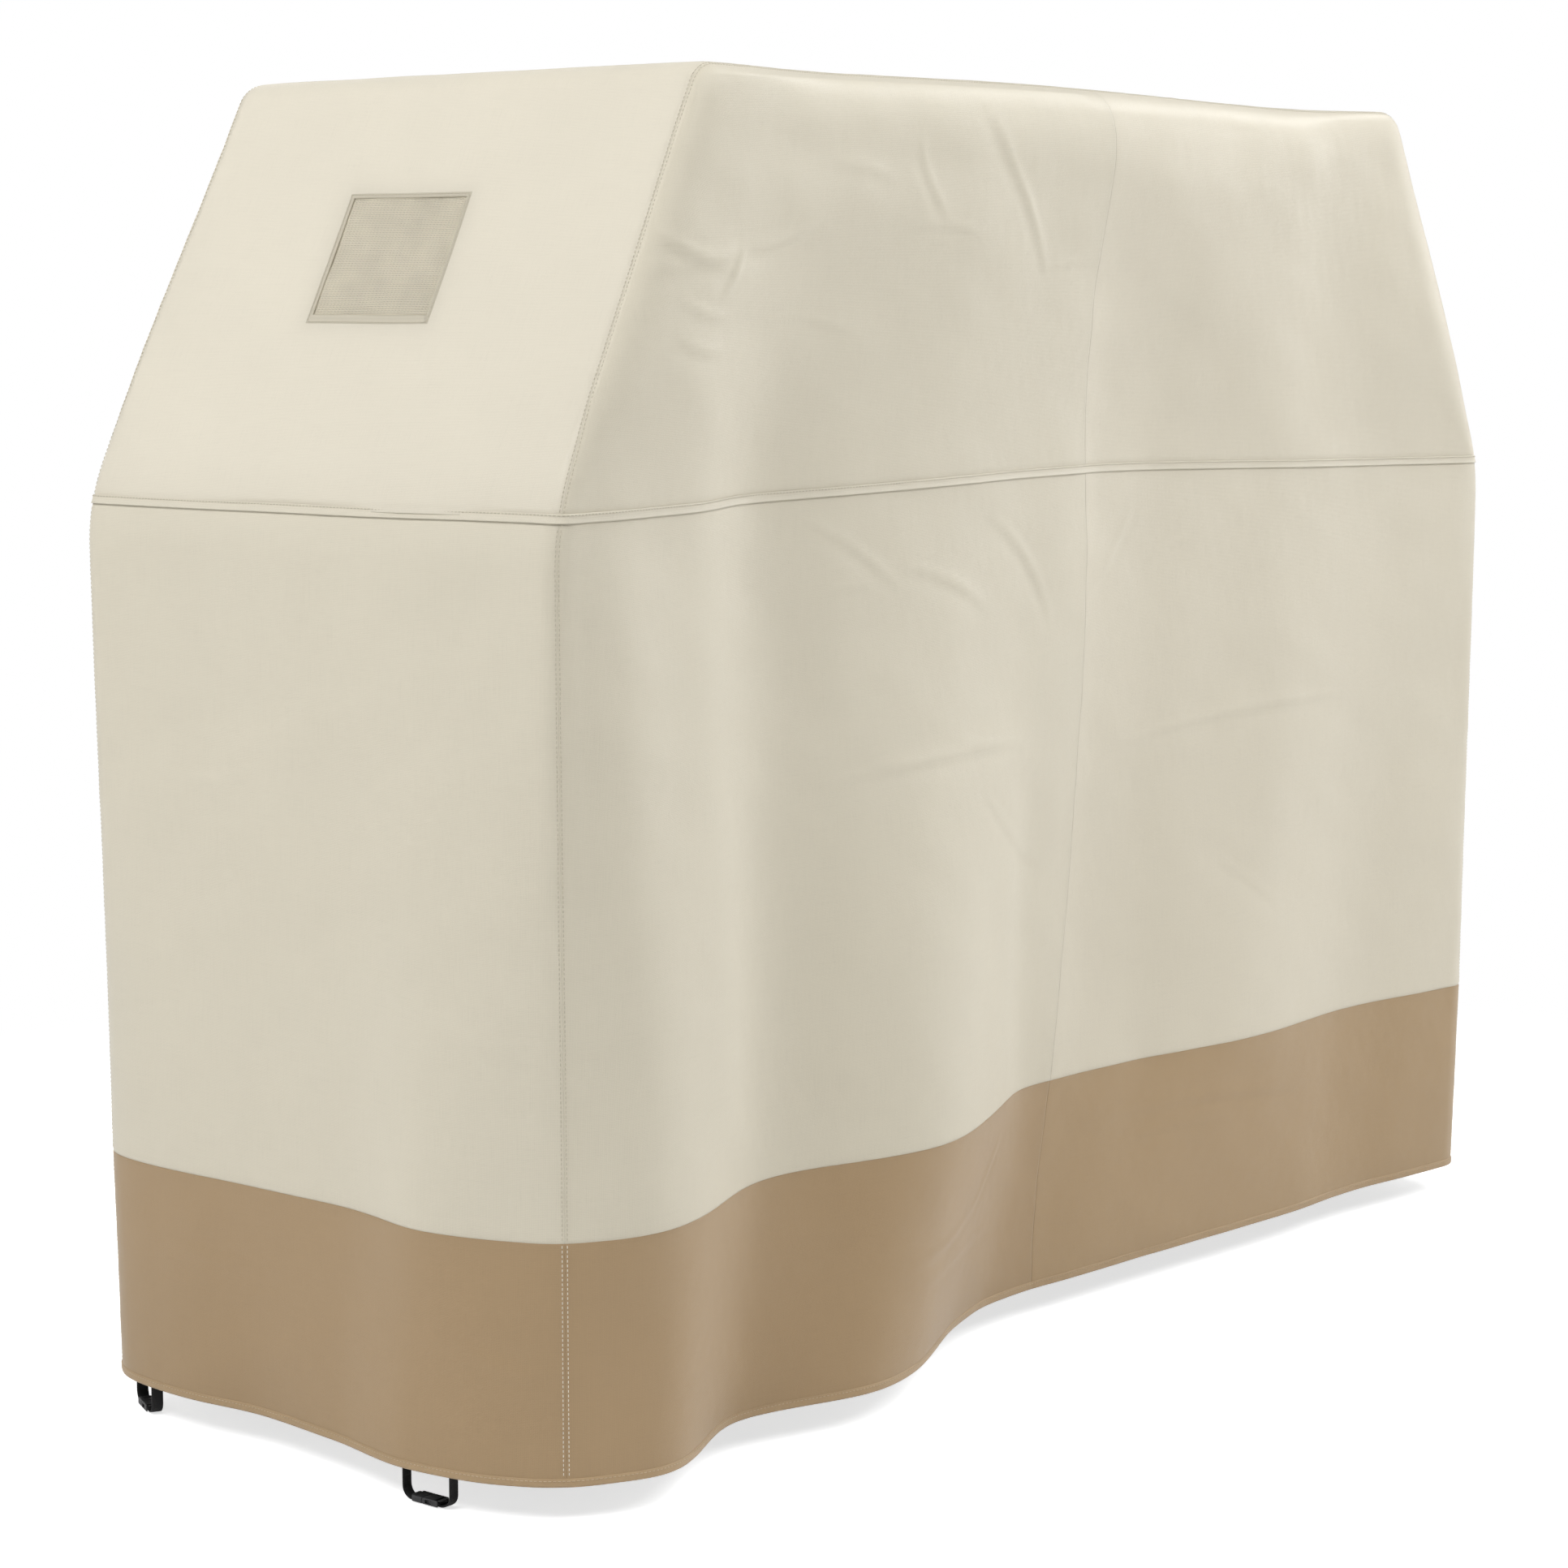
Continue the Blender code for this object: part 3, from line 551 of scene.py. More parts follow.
def top_roll(x, z):
    """The narrow padded roll under the top seam of a long wall's left half, seen from outside."""
    reach = ease((x + 0.60) / 0.05) * ease((0.02 - x) / 0.03)
    return reach * line_relief(TOP - z - 0.018, TOP_ROLL)


def long_relief(x, z, way):
    seed = 20 if way < 0 else 40
    edge = np.where(z > WAIST, gable_edge(x, z)[0], wall_half_length(z) - np.abs(x))
    pressed = crease_height(FRONT_CREASES, x if way < 0 else BACK_SHIFT - x, z)
    relief = ease(edge / RIM_FADE) * (pressed + drape(x, z, seed) + ripple_height(x * -way, z))
    relief += seam_relief(edge, np.where(z > WAIST, x + z, z), seed + 7)
    relief += 0.7 * seam_relief(np.abs(x - middle_seam(z, way)), z, seed + 9, rows=())
    return relief + top_roll(x * -way, z) + waist_relief(z) + low_relief(z)


def end_relief(y, z, way):
    seed = 60 if way < 0 else 80
    edge = wall_half_depth(z) - np.abs(y)
    pressed = crease_height(END_CREASES, -way * y, z)
    relief = ease(edge / RIM_FADE) * (pressed + 0.8 * drape(y, z, seed))
    return relief + seam_relief(edge, z, seed + 7) + waist_relief(z) + low_relief(z)


def top_relief(s, y):
    travel, edge = HALF_TRAVEL - np.abs(s), HALF_DEPTH - np.abs(y)
    rim = ease(edge / 0.06) * ease(travel / 0.03)
    crown = 0.0030 * ease(edge / HALF_DEPTH) * ease((travel - 0.40) / 0.2)
    relief = rim * drape(s, y, 100) * 0.5 + crown + seam_relief(edge, s, 107)
    return relief + waist_relief(travel + WAIST)


def slack(place):
    """Pulls the square shell out of true: its corners, ends, front waist and top."""
    x, y, z = place[..., 0], place[..., 1], place[..., 2]
    bag = (BACK_BAG + BACK_WAIST_BAG * bump(z - WAIST, 0.35)) * (1 - 0.6 * ease((z - WAIST - 0.15) / 0.25))
    corner = np.where((x < 0) & (y > 0), bag, np.where((x > 0) & (y < 0), FRONT_BAG, 0.0))
    amount = corner + UPPER_SPREAD * ease((z - WAIST - 0.01) / SLOPE_RAMP)
    near_top = ease((z - TOP + 0.09) / 0.08)
    out = place.copy()
    out[..., 1] += ease((np.abs(x) - 0.45) / 0.36) * amount * y / HALF_DEPTH
    out[..., 2] += WAIST_RISE * bump(x, 0.55) * bump(z - WAIST, 0.20) * ease(-y / 0.2)
    out[..., 2] += near_top * (CROWN * bump(x + 0.02, 0.37) + RIGHT_RISE * ease((x - 0.45) / 0.15))
    return out


def sewn(surface, relief, u, v, *way):
    """Points of a surface with its relief, and the outward directions there."""
    u, v = np.broadcast_arrays(np.asarray(u, float), np.asarray(v, float))
    step = 0.0005
    along_u = surface(u + step, v, *way) - surface(u - step, v, *way)
    along_v = surface(u, v + step, *way) - surface(u, v - step, *way)
    normal = unit(np.cross(along_u, along_v))
    base = surface(u, v, *way)
    inside = base - np.array([0.0, 0.0, 0.5])
    normal *= side_of((normal * inside).sum(axis=-1))[..., None]
    return slack(base + normal * relief(u, v, *way)[..., None]), normal


# ---- grids


def graded(length, fine=0.0008, coarse=COARSE_STEP):
    """Steps from 0 to length that start fine and grow."""
    places, step = [0.0], fine
    while places[-1] + step < length:
        places.append(places[-1] + step)
        step = min(step * 1.3, coarse)
    if length - places[-1] > step * 0.3:
        places.append(length)
    else:
        places[-1] = length
    return np.array(places)


def graded_both(length, fine=0.0008):
    """Steps from 0 to length, fine at both ends."""
    half = graded(length / 2, fine)
    return np.concatenate([half, length - half[-2::-1]])


def through(places, *exact):
    """The places with some exact ones in place of their close neighbours."""
    far = np.all([np.abs(places - place) > 0.003 for place in exact], axis=0)
    return np.unique(np.round(np.concatenate([places[far], exact]), 6))


def travel_along(path):
    """Distance from the start of a line to each of its points."""
    return np.concatenate([[0], np.cumsum(np.linalg.norm(np.diff(path, axis=0), axis=1))])


# ---- materials


def node_tree(name):
    material = bpy.data.materials.new(name)
    material.use_nodes = True
    tree = material.node_tree
    return material, tree, tree.nodes["Principled BSDF"]


def plug(tree, value, socket):
    """Gives an input a value, or links it to another node's output."""
    if isinstance(value, bpy.types.NodeSocket):
        tree.links.new(value, socket)
    else:
        socket.default_value = value


def feed(tree, node, **inputs):
    """Plugs values or outputs into a node's inputs. An input's name has underscores for its spaces."""
    for name, value in inputs.items():
        plug(tree, value, node.inputs[name.replace("_", " ")])


def add_node(tree, kind, **inputs):
    node = tree.nodes.new("ShaderNode" + kind)
    feed(tree, node, **inputs)
    return node


def math_node(tree, operation, *values):
    node = add_node(tree, "Math")
    node.operation = operation
    for socket, value in zip(node.inputs, values):
        plug(tree, value, socket)
    return node.outputs[0]


def product(tree, total, *factors):
    for factor in factors:
        total = math_node(tree, "MULTIPLY", total, factor)
    return total


def noise_node(tree, place, scale, detail=3.0):
    return add_node(tree, "TexNoise", Vector=place, Scale=scale, Detail=detail, Roughness=0.55).outputs["Fac"]


def scaled(tree, vector, scale):
    return add_node(tree, "Mapping", Vector=vector, Scale=scale).outputs["Vector"]


def remap(tree, value, low, high):
    return add_node(tree, "MapRange", Value=value, To_Min=low, To_Max=high).outputs["Result"]


def bump_node(tree, height, distance, **inputs):
    return add_node(tree, "Bump", Height=height, Distance=distance, **inputs).outputs["Normal"]


def object_place(tree):
    return add_node(tree, "TexCoord").outputs["Object"]


def camera_ray(tree):
    return add_node(tree, "LightPath").outputs["Is Camera Ray"]


def scaled_colour(tree, colour, factor):
    """A colour multiplied by a value."""
    node = add_node(tree, "VectorMath")
    node.operation = "SCALE"
    plug(tree, colour, node.inputs[0])
    plug(tree, factor, node.inputs["Scale"])
    return node.outputs[0]


def attribute(tree, name, output):
    """What make_piece wrote at each point: the place on the cloth in metres, or the painted shade that
    darkens it near a seam.
    """
    node = add_node(tree, "Attribute")
    node.attribute_name = name
    return node.outputs[output]


def weave_height(tree, place, pitch):
    """Plain weave: warp and weft threads that pass over each other by turns."""
    split = add_node(tree, "SeparateXYZ", Vector=place)
    warp, weft = (
        math_node(tree, "ABSOLUTE", math_node(tree, "SINE", product(tree, split.outputs[axis], pi / pitch)))
        for axis in ("X", "Y")
    )
    checker = add_node(tree, "TexChecker", Vector=scaled(tree, place, (1, 1, 0)), Scale=1 / pitch)
    pick = add_node(tree, "Mix")
    pick.data_type = "FLOAT"
    feed(tree, pick, Factor=checker.outputs["Fac"], A=warp, B=weft)
    return pick.outputs["Result"]


def fabric(name, colour, pitch=WEAVE_PITCH, roughness=0.58, sheen=0.25, weave=0.00012):
    """Plain-weave polyester with a faint coating: woven relief, slubby threads, mottling, and painted shade
    that darkens the cloth near seams.
    """
    material, tree, shader = node_tree(name)
    place = attribute(tree, "cloth", "Vector")
    threads = weave_height(tree, place, pitch)
    slubs = [noise_node(tree, scaled(tree, place, stretch), 1.0) for stretch in ((900, 25, 0), (25, 900, 0))]
    mottle = noise_node(tree, place, 9.0, 4.0)
    # The seam value darkens the colour by up to 16%: painted shade along the seams.
    tone = product(tree, remap(tree, threads, 0.90, 1.03),
                   remap(tree, math_node(tree, "ADD", *slubs), 0.94, 1.06),
                   remap(tree, mottle, 0.975, 1.025),
                   remap(tree, noise_node(tree, place, 2.3, 2.0), 0.98, 1.02),
                   remap(tree, attribute(tree, "seam", "Fac"), 1.0, 0.84))
    rough = math_node(tree, "ADD", remap(tree, mottle, roughness - 0.05, roughness + 0.05),
                      remap(tree, threads, 0.06, -0.04))
    woven = bump_node(tree, threads, weave, Strength=0.8)
    grain = bump_node(tree, noise_node(tree, place, 160.0), 0.0004, Strength=0.35, Normal=woven)
    feed(tree, shader, Base_Color=scaled_colour(tree, colour, tone), Roughness=rough, Normal=grain,
         Sheen_Weight=sheen, Sheen_Roughness=0.45, Specular_IOR_Level=0.42, Coat_Weight=0.10,
         Coat_Roughness=0.30)
    return material


def thread(name, colour, mottle=0.02):
    """Twisted thread, a little uneven in tone over a few centimetres."""
    material, tree, shader = node_tree(name)
    place = object_place(tree)
    twist = noise_node(tree, place, 2200.0, 1.0)
    patch = remap(tree, noise_node(tree, place, 26.0), 1 - mottle, 1 + mottle)
    tone = product(tree, remap(tree, twist, 0.82, 1.12), patch)
    feed(tree, shader, Base_Color=scaled_colour(tree, colour, tone), Roughness=remap(tree, twist, 0.42, 0.62),
         Sheen_Weight=0.2, Normal=bump_node(tree, twist, 0.0001))
    return material


def moulded_plastic(name, colour):
    """Satin moulded plastic with a fine spark-eroded texture and paler handled edges."""
    material, tree, shader = node_tree(name)
    place = object_place(tree)
    grain = noise_node(tree, place, 1500.0)
    edges = remap(tree, add_node(tree, "NewGeometry").outputs["Pointiness"], 0.0, 1.0)
    worn = math_node(tree, "MAXIMUM", product(tree, math_node(tree, "SUBTRACT", edges, 0.52), 6.0), 0.0)
    tone = math_node(tree, "ADD", remap(tree, noise_node(tree, place, 90.0, 2.0), 0.8, 1.2), worn)
    feed(tree, shader, Base_Color=scaled_colour(tree, colour, tone), Roughness=remap(tree, grain, 0.34, 0.52),
         Normal=bump_node(tree, grain, 0.00008, Strength=0.6))
    return material


# ---- meshes


def raised(p):
    return p + np.array([0.0, 0.0, HEM])


def add_object(name, data):
    item = bpy.data.objects.new(name, data)
    bpy.context.scene.collection.objects.link(item)
    return item


def make_piece(name, vertices, faces, material, cloth=None, seam=None):
    """One named mesh, smooth shaded. cloth and seam are what the materials read at each point: the place on
    the cloth, and the painted shade near seams.
    """
    mesh = bpy.data.meshes.new(name)
    mesh.from_pydata(vertices.reshape(-1, 3), [], faces)
    mesh.polygons.foreach_set("use_smooth", np.ones(len(mesh.polygons), bool))
    if cloth is not None:
        places = mesh.attributes.new("cloth", "FLOAT_VECTOR", "POINT")
        places.data.foreach_set("vector", cloth.astype(np.float32).ravel())
    if seam is not None:
        seam_shade = mesh.attributes.new("seam", "FLOAT", "POINT")
        seam_shade.data.foreach_set("value", seam.astype(np.float32).ravel())
    mesh.update()
    mesh.materials.append(material)
    return add_object(name, mesh)


def grid_faces(rows, columns, closed_rows=False, closed_columns=False, skip=None):
    index = np.arange(rows * columns).reshape(rows, columns)
    if closed_rows:
        index = np.vstack([index, index[:1]])
    if closed_columns:
        index = np.hstack([index, index[:, :1]])
    faces = np.stack([index[:-1, :-1], index[:-1, 1:], index[1:, 1:], index[1:, :-1]], axis=-1)
    if skip is not None:
        faces = faces[~skip]
    return faces.reshape(-1, 4)


def outward(grid, faces, normals):
    """Turns a sheet's faces so that they look the way of its normals."""
    corners = grid.reshape(-1, 3)[faces]
    facing = np.cross(corners[:, 2] - corners[:, 0], corners[:, 3] - corners[:, 1])
    if (facing * normals.reshape(-1, 3)[faces[:, 0]]).sum() < 0:
        return faces[:, ::-1]
    return faces


def cloth_sheet(name, grid, normals, cloth, seam, materials, skip=None):
    """A sewn panel: one displaced sheet given the cloth's thickness, with its coated inner face."""
    faces = outward(grid, grid_faces(*grid.shape[:2], skip=skip), normals)
    item = make_piece(name, raised(grid), faces, materials[0], cloth, seam)
    item.data.materials.append(materials[1])
    solid = item.modifiers.new("cloth_thickness", "SOLIDIFY")
    solid.thickness = CLOTH
    solid.offset = -1.0
    solid.material_offset = 1
    solid.material_offset_rim = 0
    return item


def sew_on(item, slot, *nodes):
    """Makes a piece part of the cover, in place of the CAD nodes it stands for."""
    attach(item, "cover")
    if nodes:
        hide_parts(*nodes)


# Painted shade: how much the cloth is darkened beside each seam, fading over a few millimetres.
def seam_shade_amount(*distances):
    near = [0.31 * np.exp(-np.abs(distance) / 0.004) for distance in np.broadcast_arrays(*distances)]
    return np.maximum.reduce(near)


def long_panel(name, way, half, heights, half_length, surface, materials, slot):
    """One half of a long wall's row of panels: half -1 is the left, 1 the right."""
    z = heights[:, None]
    reach = half_length(z)
    edge = graded(EDGE_STRIP)
    rest = graded(1.0, fine=0.0012, coarse=COARSE_STEP / HALF_LENGTH)[::-1]
    inner = half * middle_seam(z, way)
    columns = [reach - d for d in edge] + [inner + (reach - edge[-1] - inner) * f for f in rest[1:]]
    x = half * np.concatenate(columns, axis=1)
    z = np.broadcast_to(z, x.shape)
    seam_shade = seam_shade_amount(reach - np.abs(x), x - middle_seam(z, way), z - WAIST, z - SKIRT_TOP)
    cloth = points(x * way, z, 0.0)
    item = cloth_sheet(name, *sewn(surface, long_relief, x, z, way), cloth, seam_shade, materials)
    sew_on(item, slot, name)


def end_panel(name, way, heights, materials, slot):
    z = heights[:, None]
    reach = wall_half_depth(z)
    edge = graded(EDGE_STRIP)
    rest = np.linspace(1, -1, int(2 * HALF_DEPTH / COARSE_STEP))
    columns = [reach - d for d in edge[:-1]] + [(reach - edge[-1]) * f for f in rest]
    columns += [d - reach for d in edge[-2::-1]]
    y = np.concatenate(columns, axis=1)
    z = np.broadcast_to(z, y.shape)
    seam_shade = seam_shade_amount(reach - np.abs(y), z - WAIST, z - SKIRT_TOP)
    cloth = points(-y * way, z, 0.0)
    item = cloth_sheet(name, *sewn(end_wall, end_relief, y, z, way), cloth, seam_shade, materials)
    sew_on(item, slot, name)


def vent_travel(z):
    """Where a height on the left slope lies along the over-top panel."""
    return -HALF_TRAVEL + float(np.interp(z, CLIMB[2][:-1], CLIMB[0][:-1]))


VENT_S = (vent_travel(VENT_BOTTOM), vent_travel(VENT_TOP))


def beyond_vent(s, y):
    """How far a place lies outside a vent opening, along the panel and across it. Negative is inside."""
    along = np.maximum(np.abs(s) + VENT_S[0], -VENT_S[1] - np.abs(s))
    return along, np.maximum(VENT_NEAR - y, y - VENT_FAR)


def top_panel(materials):
    """The over-top panel, with a vent opening in each slope."""
    half = through(-HALF_TRAVEL + graded(HALF_TRAVEL), *VENT_S)
    s = np.concatenate([half, -half[-2::-1]])[:, None]
    y = through(-HALF_DEPTH + graded_both(2 * HALF_DEPTH), VENT_NEAR, VENT_FAR)[None, :]
    grid, normals = sewn(over_top, top_relief, s, y)
    s, y = np.broadcast_arrays(s, y)
    centres = beyond_vent(*((a[:-1, :-1] + a[1:, 1:]) / 2 for a in (s, y)))
    skip = (centres[0] < 0) & (centres[1] < 0)
    cloth = points(y, s, 0.0)
    seam = seam_shade_amount(HALF_DEPTH - np.abs(y), HALF_TRAVEL - np.abs(s))
    beyond = np.hypot(*(np.maximum(distance, 0) for distance in beyond_vent(s, y)))
    # A painted shadow round each vent opening, darkest at its rim.
    seam = np.maximum(seam, 0.9 * np.exp(-beyond / 0.011))
    item = cloth_sheet("over_top_panel_cloth", grid, normals, cloth, seam, materials, skip)
    sew_on(item, "cream_top_fabric", "over_top_panel")


def level_relief(relief, middle):
    """The relief that the cloth has along one height, used at every height."""
    return lambda u, v, way: relief(u, np.full(np.shape(v), middle), way)


def closed_trim(name, loops, cloths, material, seam, slot, node):
    """One piece of folded trim from the loops round its section."""
    grid = np.stack(loops)
    faces = grid_faces(*grid.shape[:2], closed_rows=True, closed_columns=True)
    item = make_piece(name, raised(grid), faces, material, np.stack(cloths), np.full(grid.shape[:2], seam))
    sew_on(item, slot, node)


def trim_ring(name, section, middle, material, slot, node):
    """Folded trim sewn round all four walls. Its section's heights are above the hem."""
    spread = graded_both(2.0, SPREAD_STEP)[:-1] - 1
    loops, cloths = [], []
    for k, (height, out) in enumerate(section):
        parts = []
        z = np.full(len(spread), height)
        length, depth = wall_half_length(height), wall_half_depth(height)
        for surface, relief, reach, way, turn in (
            (long_wall, long_relief, length, -1, 1), (end_wall, end_relief, depth, 1, 1),
            (long_wall, long_relief, length, 1, -1), (end_wall, end_relief, depth, -1, -1),
        ):
            line, normals = sewn(surface, level_relief(relief, middle), turn * spread * reach, z, way)
            parts.append(line + normals * out)
        loop = np.concatenate(parts)
        loops.append(loop)
        cloths.append(points(travel_along(loop), 0.002 * k, 0.0))
    closed_trim(name, loops, cloths, material, 0.0, slot, node)


# ---- stitches


def resample(path, normals):
    """Places one stitch apart along a line: (points, directions, normals)."""
    travel = travel_along(path)
    at = np.arange(STITCH_PITCH / 2, travel[-1], STITCH_PITCH)

    def read(values, shift=0.0):
        return np.column_stack([np.interp(at + shift, travel, values[:, k]) for k in range(3)])

    along = read(path, STITCH_PITCH / 4) - read(path, -STITCH_PITCH / 4)
    return read(path), unit(along), unit(read(normals))


def stitches(name, lines, material, slot, radius):
    """One piece holding every stitch of some rows: each a short arched bead of thread."""
    around = [(0, 1), (1, 0), (0, -1), (-1, 0)]
    rings = ((-0.5, 0.0, -0.4), (-0.34, 1.0, 0.35), (0.34, 1.0, 0.35), (0.5, 0.0, -0.4))
    template = []
    for place, size, rise in rings:
        corners = around if size else around[:1]
        for a, b in corners:
            template.append((place * STITCH_LENGTH, a * radius * size, b * radius * size + rise * radius))
    template = np.array(template)
    faces = [(0, 1 + k, 1 + (k + 1) % 4) for k in range(4)]
    faces += [(1 + k, 5 + k, 5 + (k + 1) % 4, 1 + (k + 1) % 4) for k in range(4)]
    faces += [(9, 5 + (k + 1) % 4, 5 + k) for k in range(4)]
    vertices, all_faces = [], []
    for path, normals in lines:
        centre, along, up = resample(path, normals)
        basis = np.stack([along, np.cross(up, along), up], axis=1)
        beads = centre[:, None, :] + template @ basis
        start = sum(len(v) for v in vertices)
        vertices.append(beads.reshape(-1, 3))
        for k in range(len(centre)):
            all_faces += [tuple(start + 10 * k + i for i in face) for face in faces]
    sew_on(make_piece(name, raised(np.concatenate(vertices)), all_faces, material), slot)


def line_on(surface, relief, u, v, *way, lift=0.0):
    grid, normals = sewn(surface, relief, u, v, *way)
    return grid + normals * lift, normals


def corner_rows(low, high):
    """Both stitch rows beside each of the four upright corner seams, between two heights."""
    z = np.arange(low, high, 0.004)
    lines = []
    for way_x in (-1, 1):
        for way_y in (-1, 1):
            x = way_x * (wall_half_length(z) - ROW_OFFSET)
            y = way_y * (wall_half_depth(z) - ROW_OFFSET)
            lines.append(line_on(long_wall, long_relief, x, z, way_y))
            lines.append(line_on(end_wall, end_relief, y, z, way_x))
    return lines


def gable_rows():
    """The stitch rows beside the seam that runs up each slope and along the top."""
    s = np.arange(-HALF_TRAVEL + 0.006, HALF_TRAVEL - 0.006, 0.003)
    x, z, angle = on_climb(s)
    x_in = side_of(s) * (x - ROW_OFFSET * np.cos(angle))
    z_in = z - ROW_OFFSET * np.sin(angle)
    lines = []
    for way in (-1, 1):
        lines.append(line_on(gable, long_relief, x_in, z_in, way))
        inset = ROW_OFFSET * edge_value(z, ROW_SPREADS)
        lines.append(line_on(over_top, top_relief, s, way * (HALF_DEPTH - inset)))
    return lines


def ring_row(height, middle, out):
    """One stitch row round all four walls at a height, on trim that follows the cloth's relief at middle."""
    spread = graded_both(2.0, SPREAD_STEP) - 1
    z = np.full(len(spread), height)
    walls = ((long_wall, long_relief, wall_half_length), (end_wall, end_relief, wall_half_depth))
    return [
        line_on(surface, level_relief(relief, middle), spread * reach(height), z, way, lift=out)
        for way in (-1, 1)
        for surface, relief, reach in walls
    ]


# ---- vents


def vent_frame(side, binding, slot):
    """The narrow folded edge sewn round a vent opening."""
    way = -1 if side == "left" else 1
    s_low, s_high = VENT_S
    count = 40
    edge = np.arange(count) / count
    loops, cloths = [], []
    for k, (spread, out) in enumerate(VENT_SECTION):
        s0, s1 = s_low - spread + VENT_BOTTOM_HEM * (spread < 0.0015), s_high + spread
        y0, y1 = VENT_NEAR - spread, VENT_FAR + spread
        s = np.concatenate([mix(s0, s1, edge), np.full(count, s1), mix(s1, s0, edge), np.full(count, s0)])
        y = np.concatenate([np.full(count, y0), mix(y0, y1, edge), np.full(count, y1), mix(y1, y0, edge)])
        grid, normals = sewn(over_top, top_relief, s * -way, y)
        loops.append(grid + normals * out)
        cloths.append(points(np.linspace(0, 0.54, 4 * count), k * 0.001, 0.0))
    # The vent edge is darkened all over by the same painted shadow as the cloth at the opening's rim.
    closed_trim(side + "_vent_edge", loops, cloths, binding, 0.9, slot, side + "_vent_binding")


def vent_stitch_line(way):
    s_low, s_high = VENT_S[0] - VENT_ROW_OFFSET, VENT_S[1] + VENT_ROW_OFFSET
    y0, y1 = VENT_NEAR - VENT_ROW_OFFSET, VENT_FAR + VENT_ROW_OFFSET
    edge = np.linspace(0, 1, 40)
    corners = ((s_low, y0), (s_high, y0), (s_high, y1), (s_low, y1), (s_low, y0))
    return [
        line_on(over_top, top_relief, -way * mix(s0, s1, edge), mix(ya, yb, edge), lift=0.0004)
        for (s0, ya), (s1, yb) in zip(corners, corners[1:])
    ]


def thread_tubes(lines, normals, across, radius):
    """(vertices, faces) of four-sided threads along the second axis of lines."""
    sides = [normals * radius, across * radius, -normals * radius, -across * radius]
    tube = np.stack([lines + side for side in sides], axis=2)
    index = np.arange(tube.size // 3).reshape(tube.shape[:3])
    index = np.concatenate([index, index[:, :, :1]], axis=2)
    near, far = index[:, :-1], index[:, 1:]
    quads = [np.stack([near[..., k], far[..., k], far[..., k + 1], near[..., k + 1]], -1) for k in range(4)]
    return tube.reshape(-1, 3), np.concatenate([quad.reshape(-1, 4) for quad in quads])


def vent_threads(side, material, slot):
    """The vent's mesh: close horizontal threads bound by thinner upright ones."""
    way = -1 if side == "left" else 1
    rows = np.arange(VENT_S[0] - VENT_OVERLAP, VENT_S[1] + VENT_OVERLAP, 0.00130)[:, None]
    columns = np.arange(VENT_NEAR - VENT_OVERLAP, VENT_FAR + VENT_OVERLAP, 0.0021)[None, :]
    sag = 0.0004 * soft_noise(rows, columns * 0.4, 300, 0.05) - VENT_DEPTH
    turns = np.add.outer(np.arange(rows.size), np.arange(columns.size))
    wave = 0.00022 * np.where(turns % 2, -1.0, 1.0)
    grid, normals = sewn(over_top, top_relief, rows * -way, columns)
    uphill, sideways = (unit(np.gradient(grid, axis=axis)) for axis in (0, 1))
    level = thread_tubes(grid + normals * (sag + wave)[..., None], normals * 0.8, uphill, 0.00050)
    bound = grid + normals * (sag - wave)[..., None]
    upright = thread_tubes(*(part.transpose(1, 0, 2)[:, ::2] for part in (bound, normals, sideways)), 0.00036)
    faces = np.concatenate([level[1], upright[1] + len(level[0])])
    item = make_piece(side + "_vent_netting", raised(np.concatenate([level[0], upright[0]])), faces, material)
    sew_on(item, slot, side + "_vent_mesh")


# ---- straps


def strap_axes(name):
    """(point below the hem on the swing axis, inward direction, direction along the hem) of a loop."""
    joint = next(j for j in frame["joints"] if j["name"] == name + "_swing")
    along = unit(np.array(joint["axis"], float))
    inward = np.array([along[1], -along[0], 0.0])
    return np.array(joint["pos_m"], float), inward, along


def leg_path(side):
    """Centre line of one webbing leg as rows of (inward, along the hem, height, quarter turns): down from its
    tab behind the hem, then round to the buckle, round the bar and back."""
    bottom, bar = -BUCKLE_DROP - WRAP_RADIUS, BUCKLE_END - BAR_WIDTH / 2
    tab, drop = np.linspace(0.030, 0.0, 26), np.linspace(-0.0008, bottom + LEG_BEND_RADIUS, 20)
    bend, wrap = np.linspace(0, -pi / 2, 17)[1:], np.linspace(-pi / 2, -3 * pi / 2, 15)
    tab_inward = mix(TAB_INSET - STRAP_INSET, 0.0, ease((0.019 - tab) / 0.013))
    stretches = (
        (tab_inward, LOOP_HALF_WIDTH, tab, ease((0.018 - tab) / 0.015)),
        (0.0, LOOP_HALF_WIDTH, drop, 1.0),
        (0.0, LOOP_HALF_WIDTH - LEG_BEND_RADIUS * (1 - np.cos(bend)),
         bottom + LEG_BEND_RADIUS * (1 + np.sin(bend)), 1.0),
        (0.0, bar + WRAP_RADIUS * np.cos(wrap), -BUCKLE_DROP + WRAP_RADIUS * np.sin(wrap), 1.0),
        (0.0, bar + np.linspace(0.0006, 0.0030, 5), -BUCKLE_DROP + WRAP_RADIUS, 1.0),
    )
    rows = np.concatenate([np.column_stack(np.broadcast_arrays(*stretch)) for stretch in stretches])
    rows[:, 1] *= side
    return rows


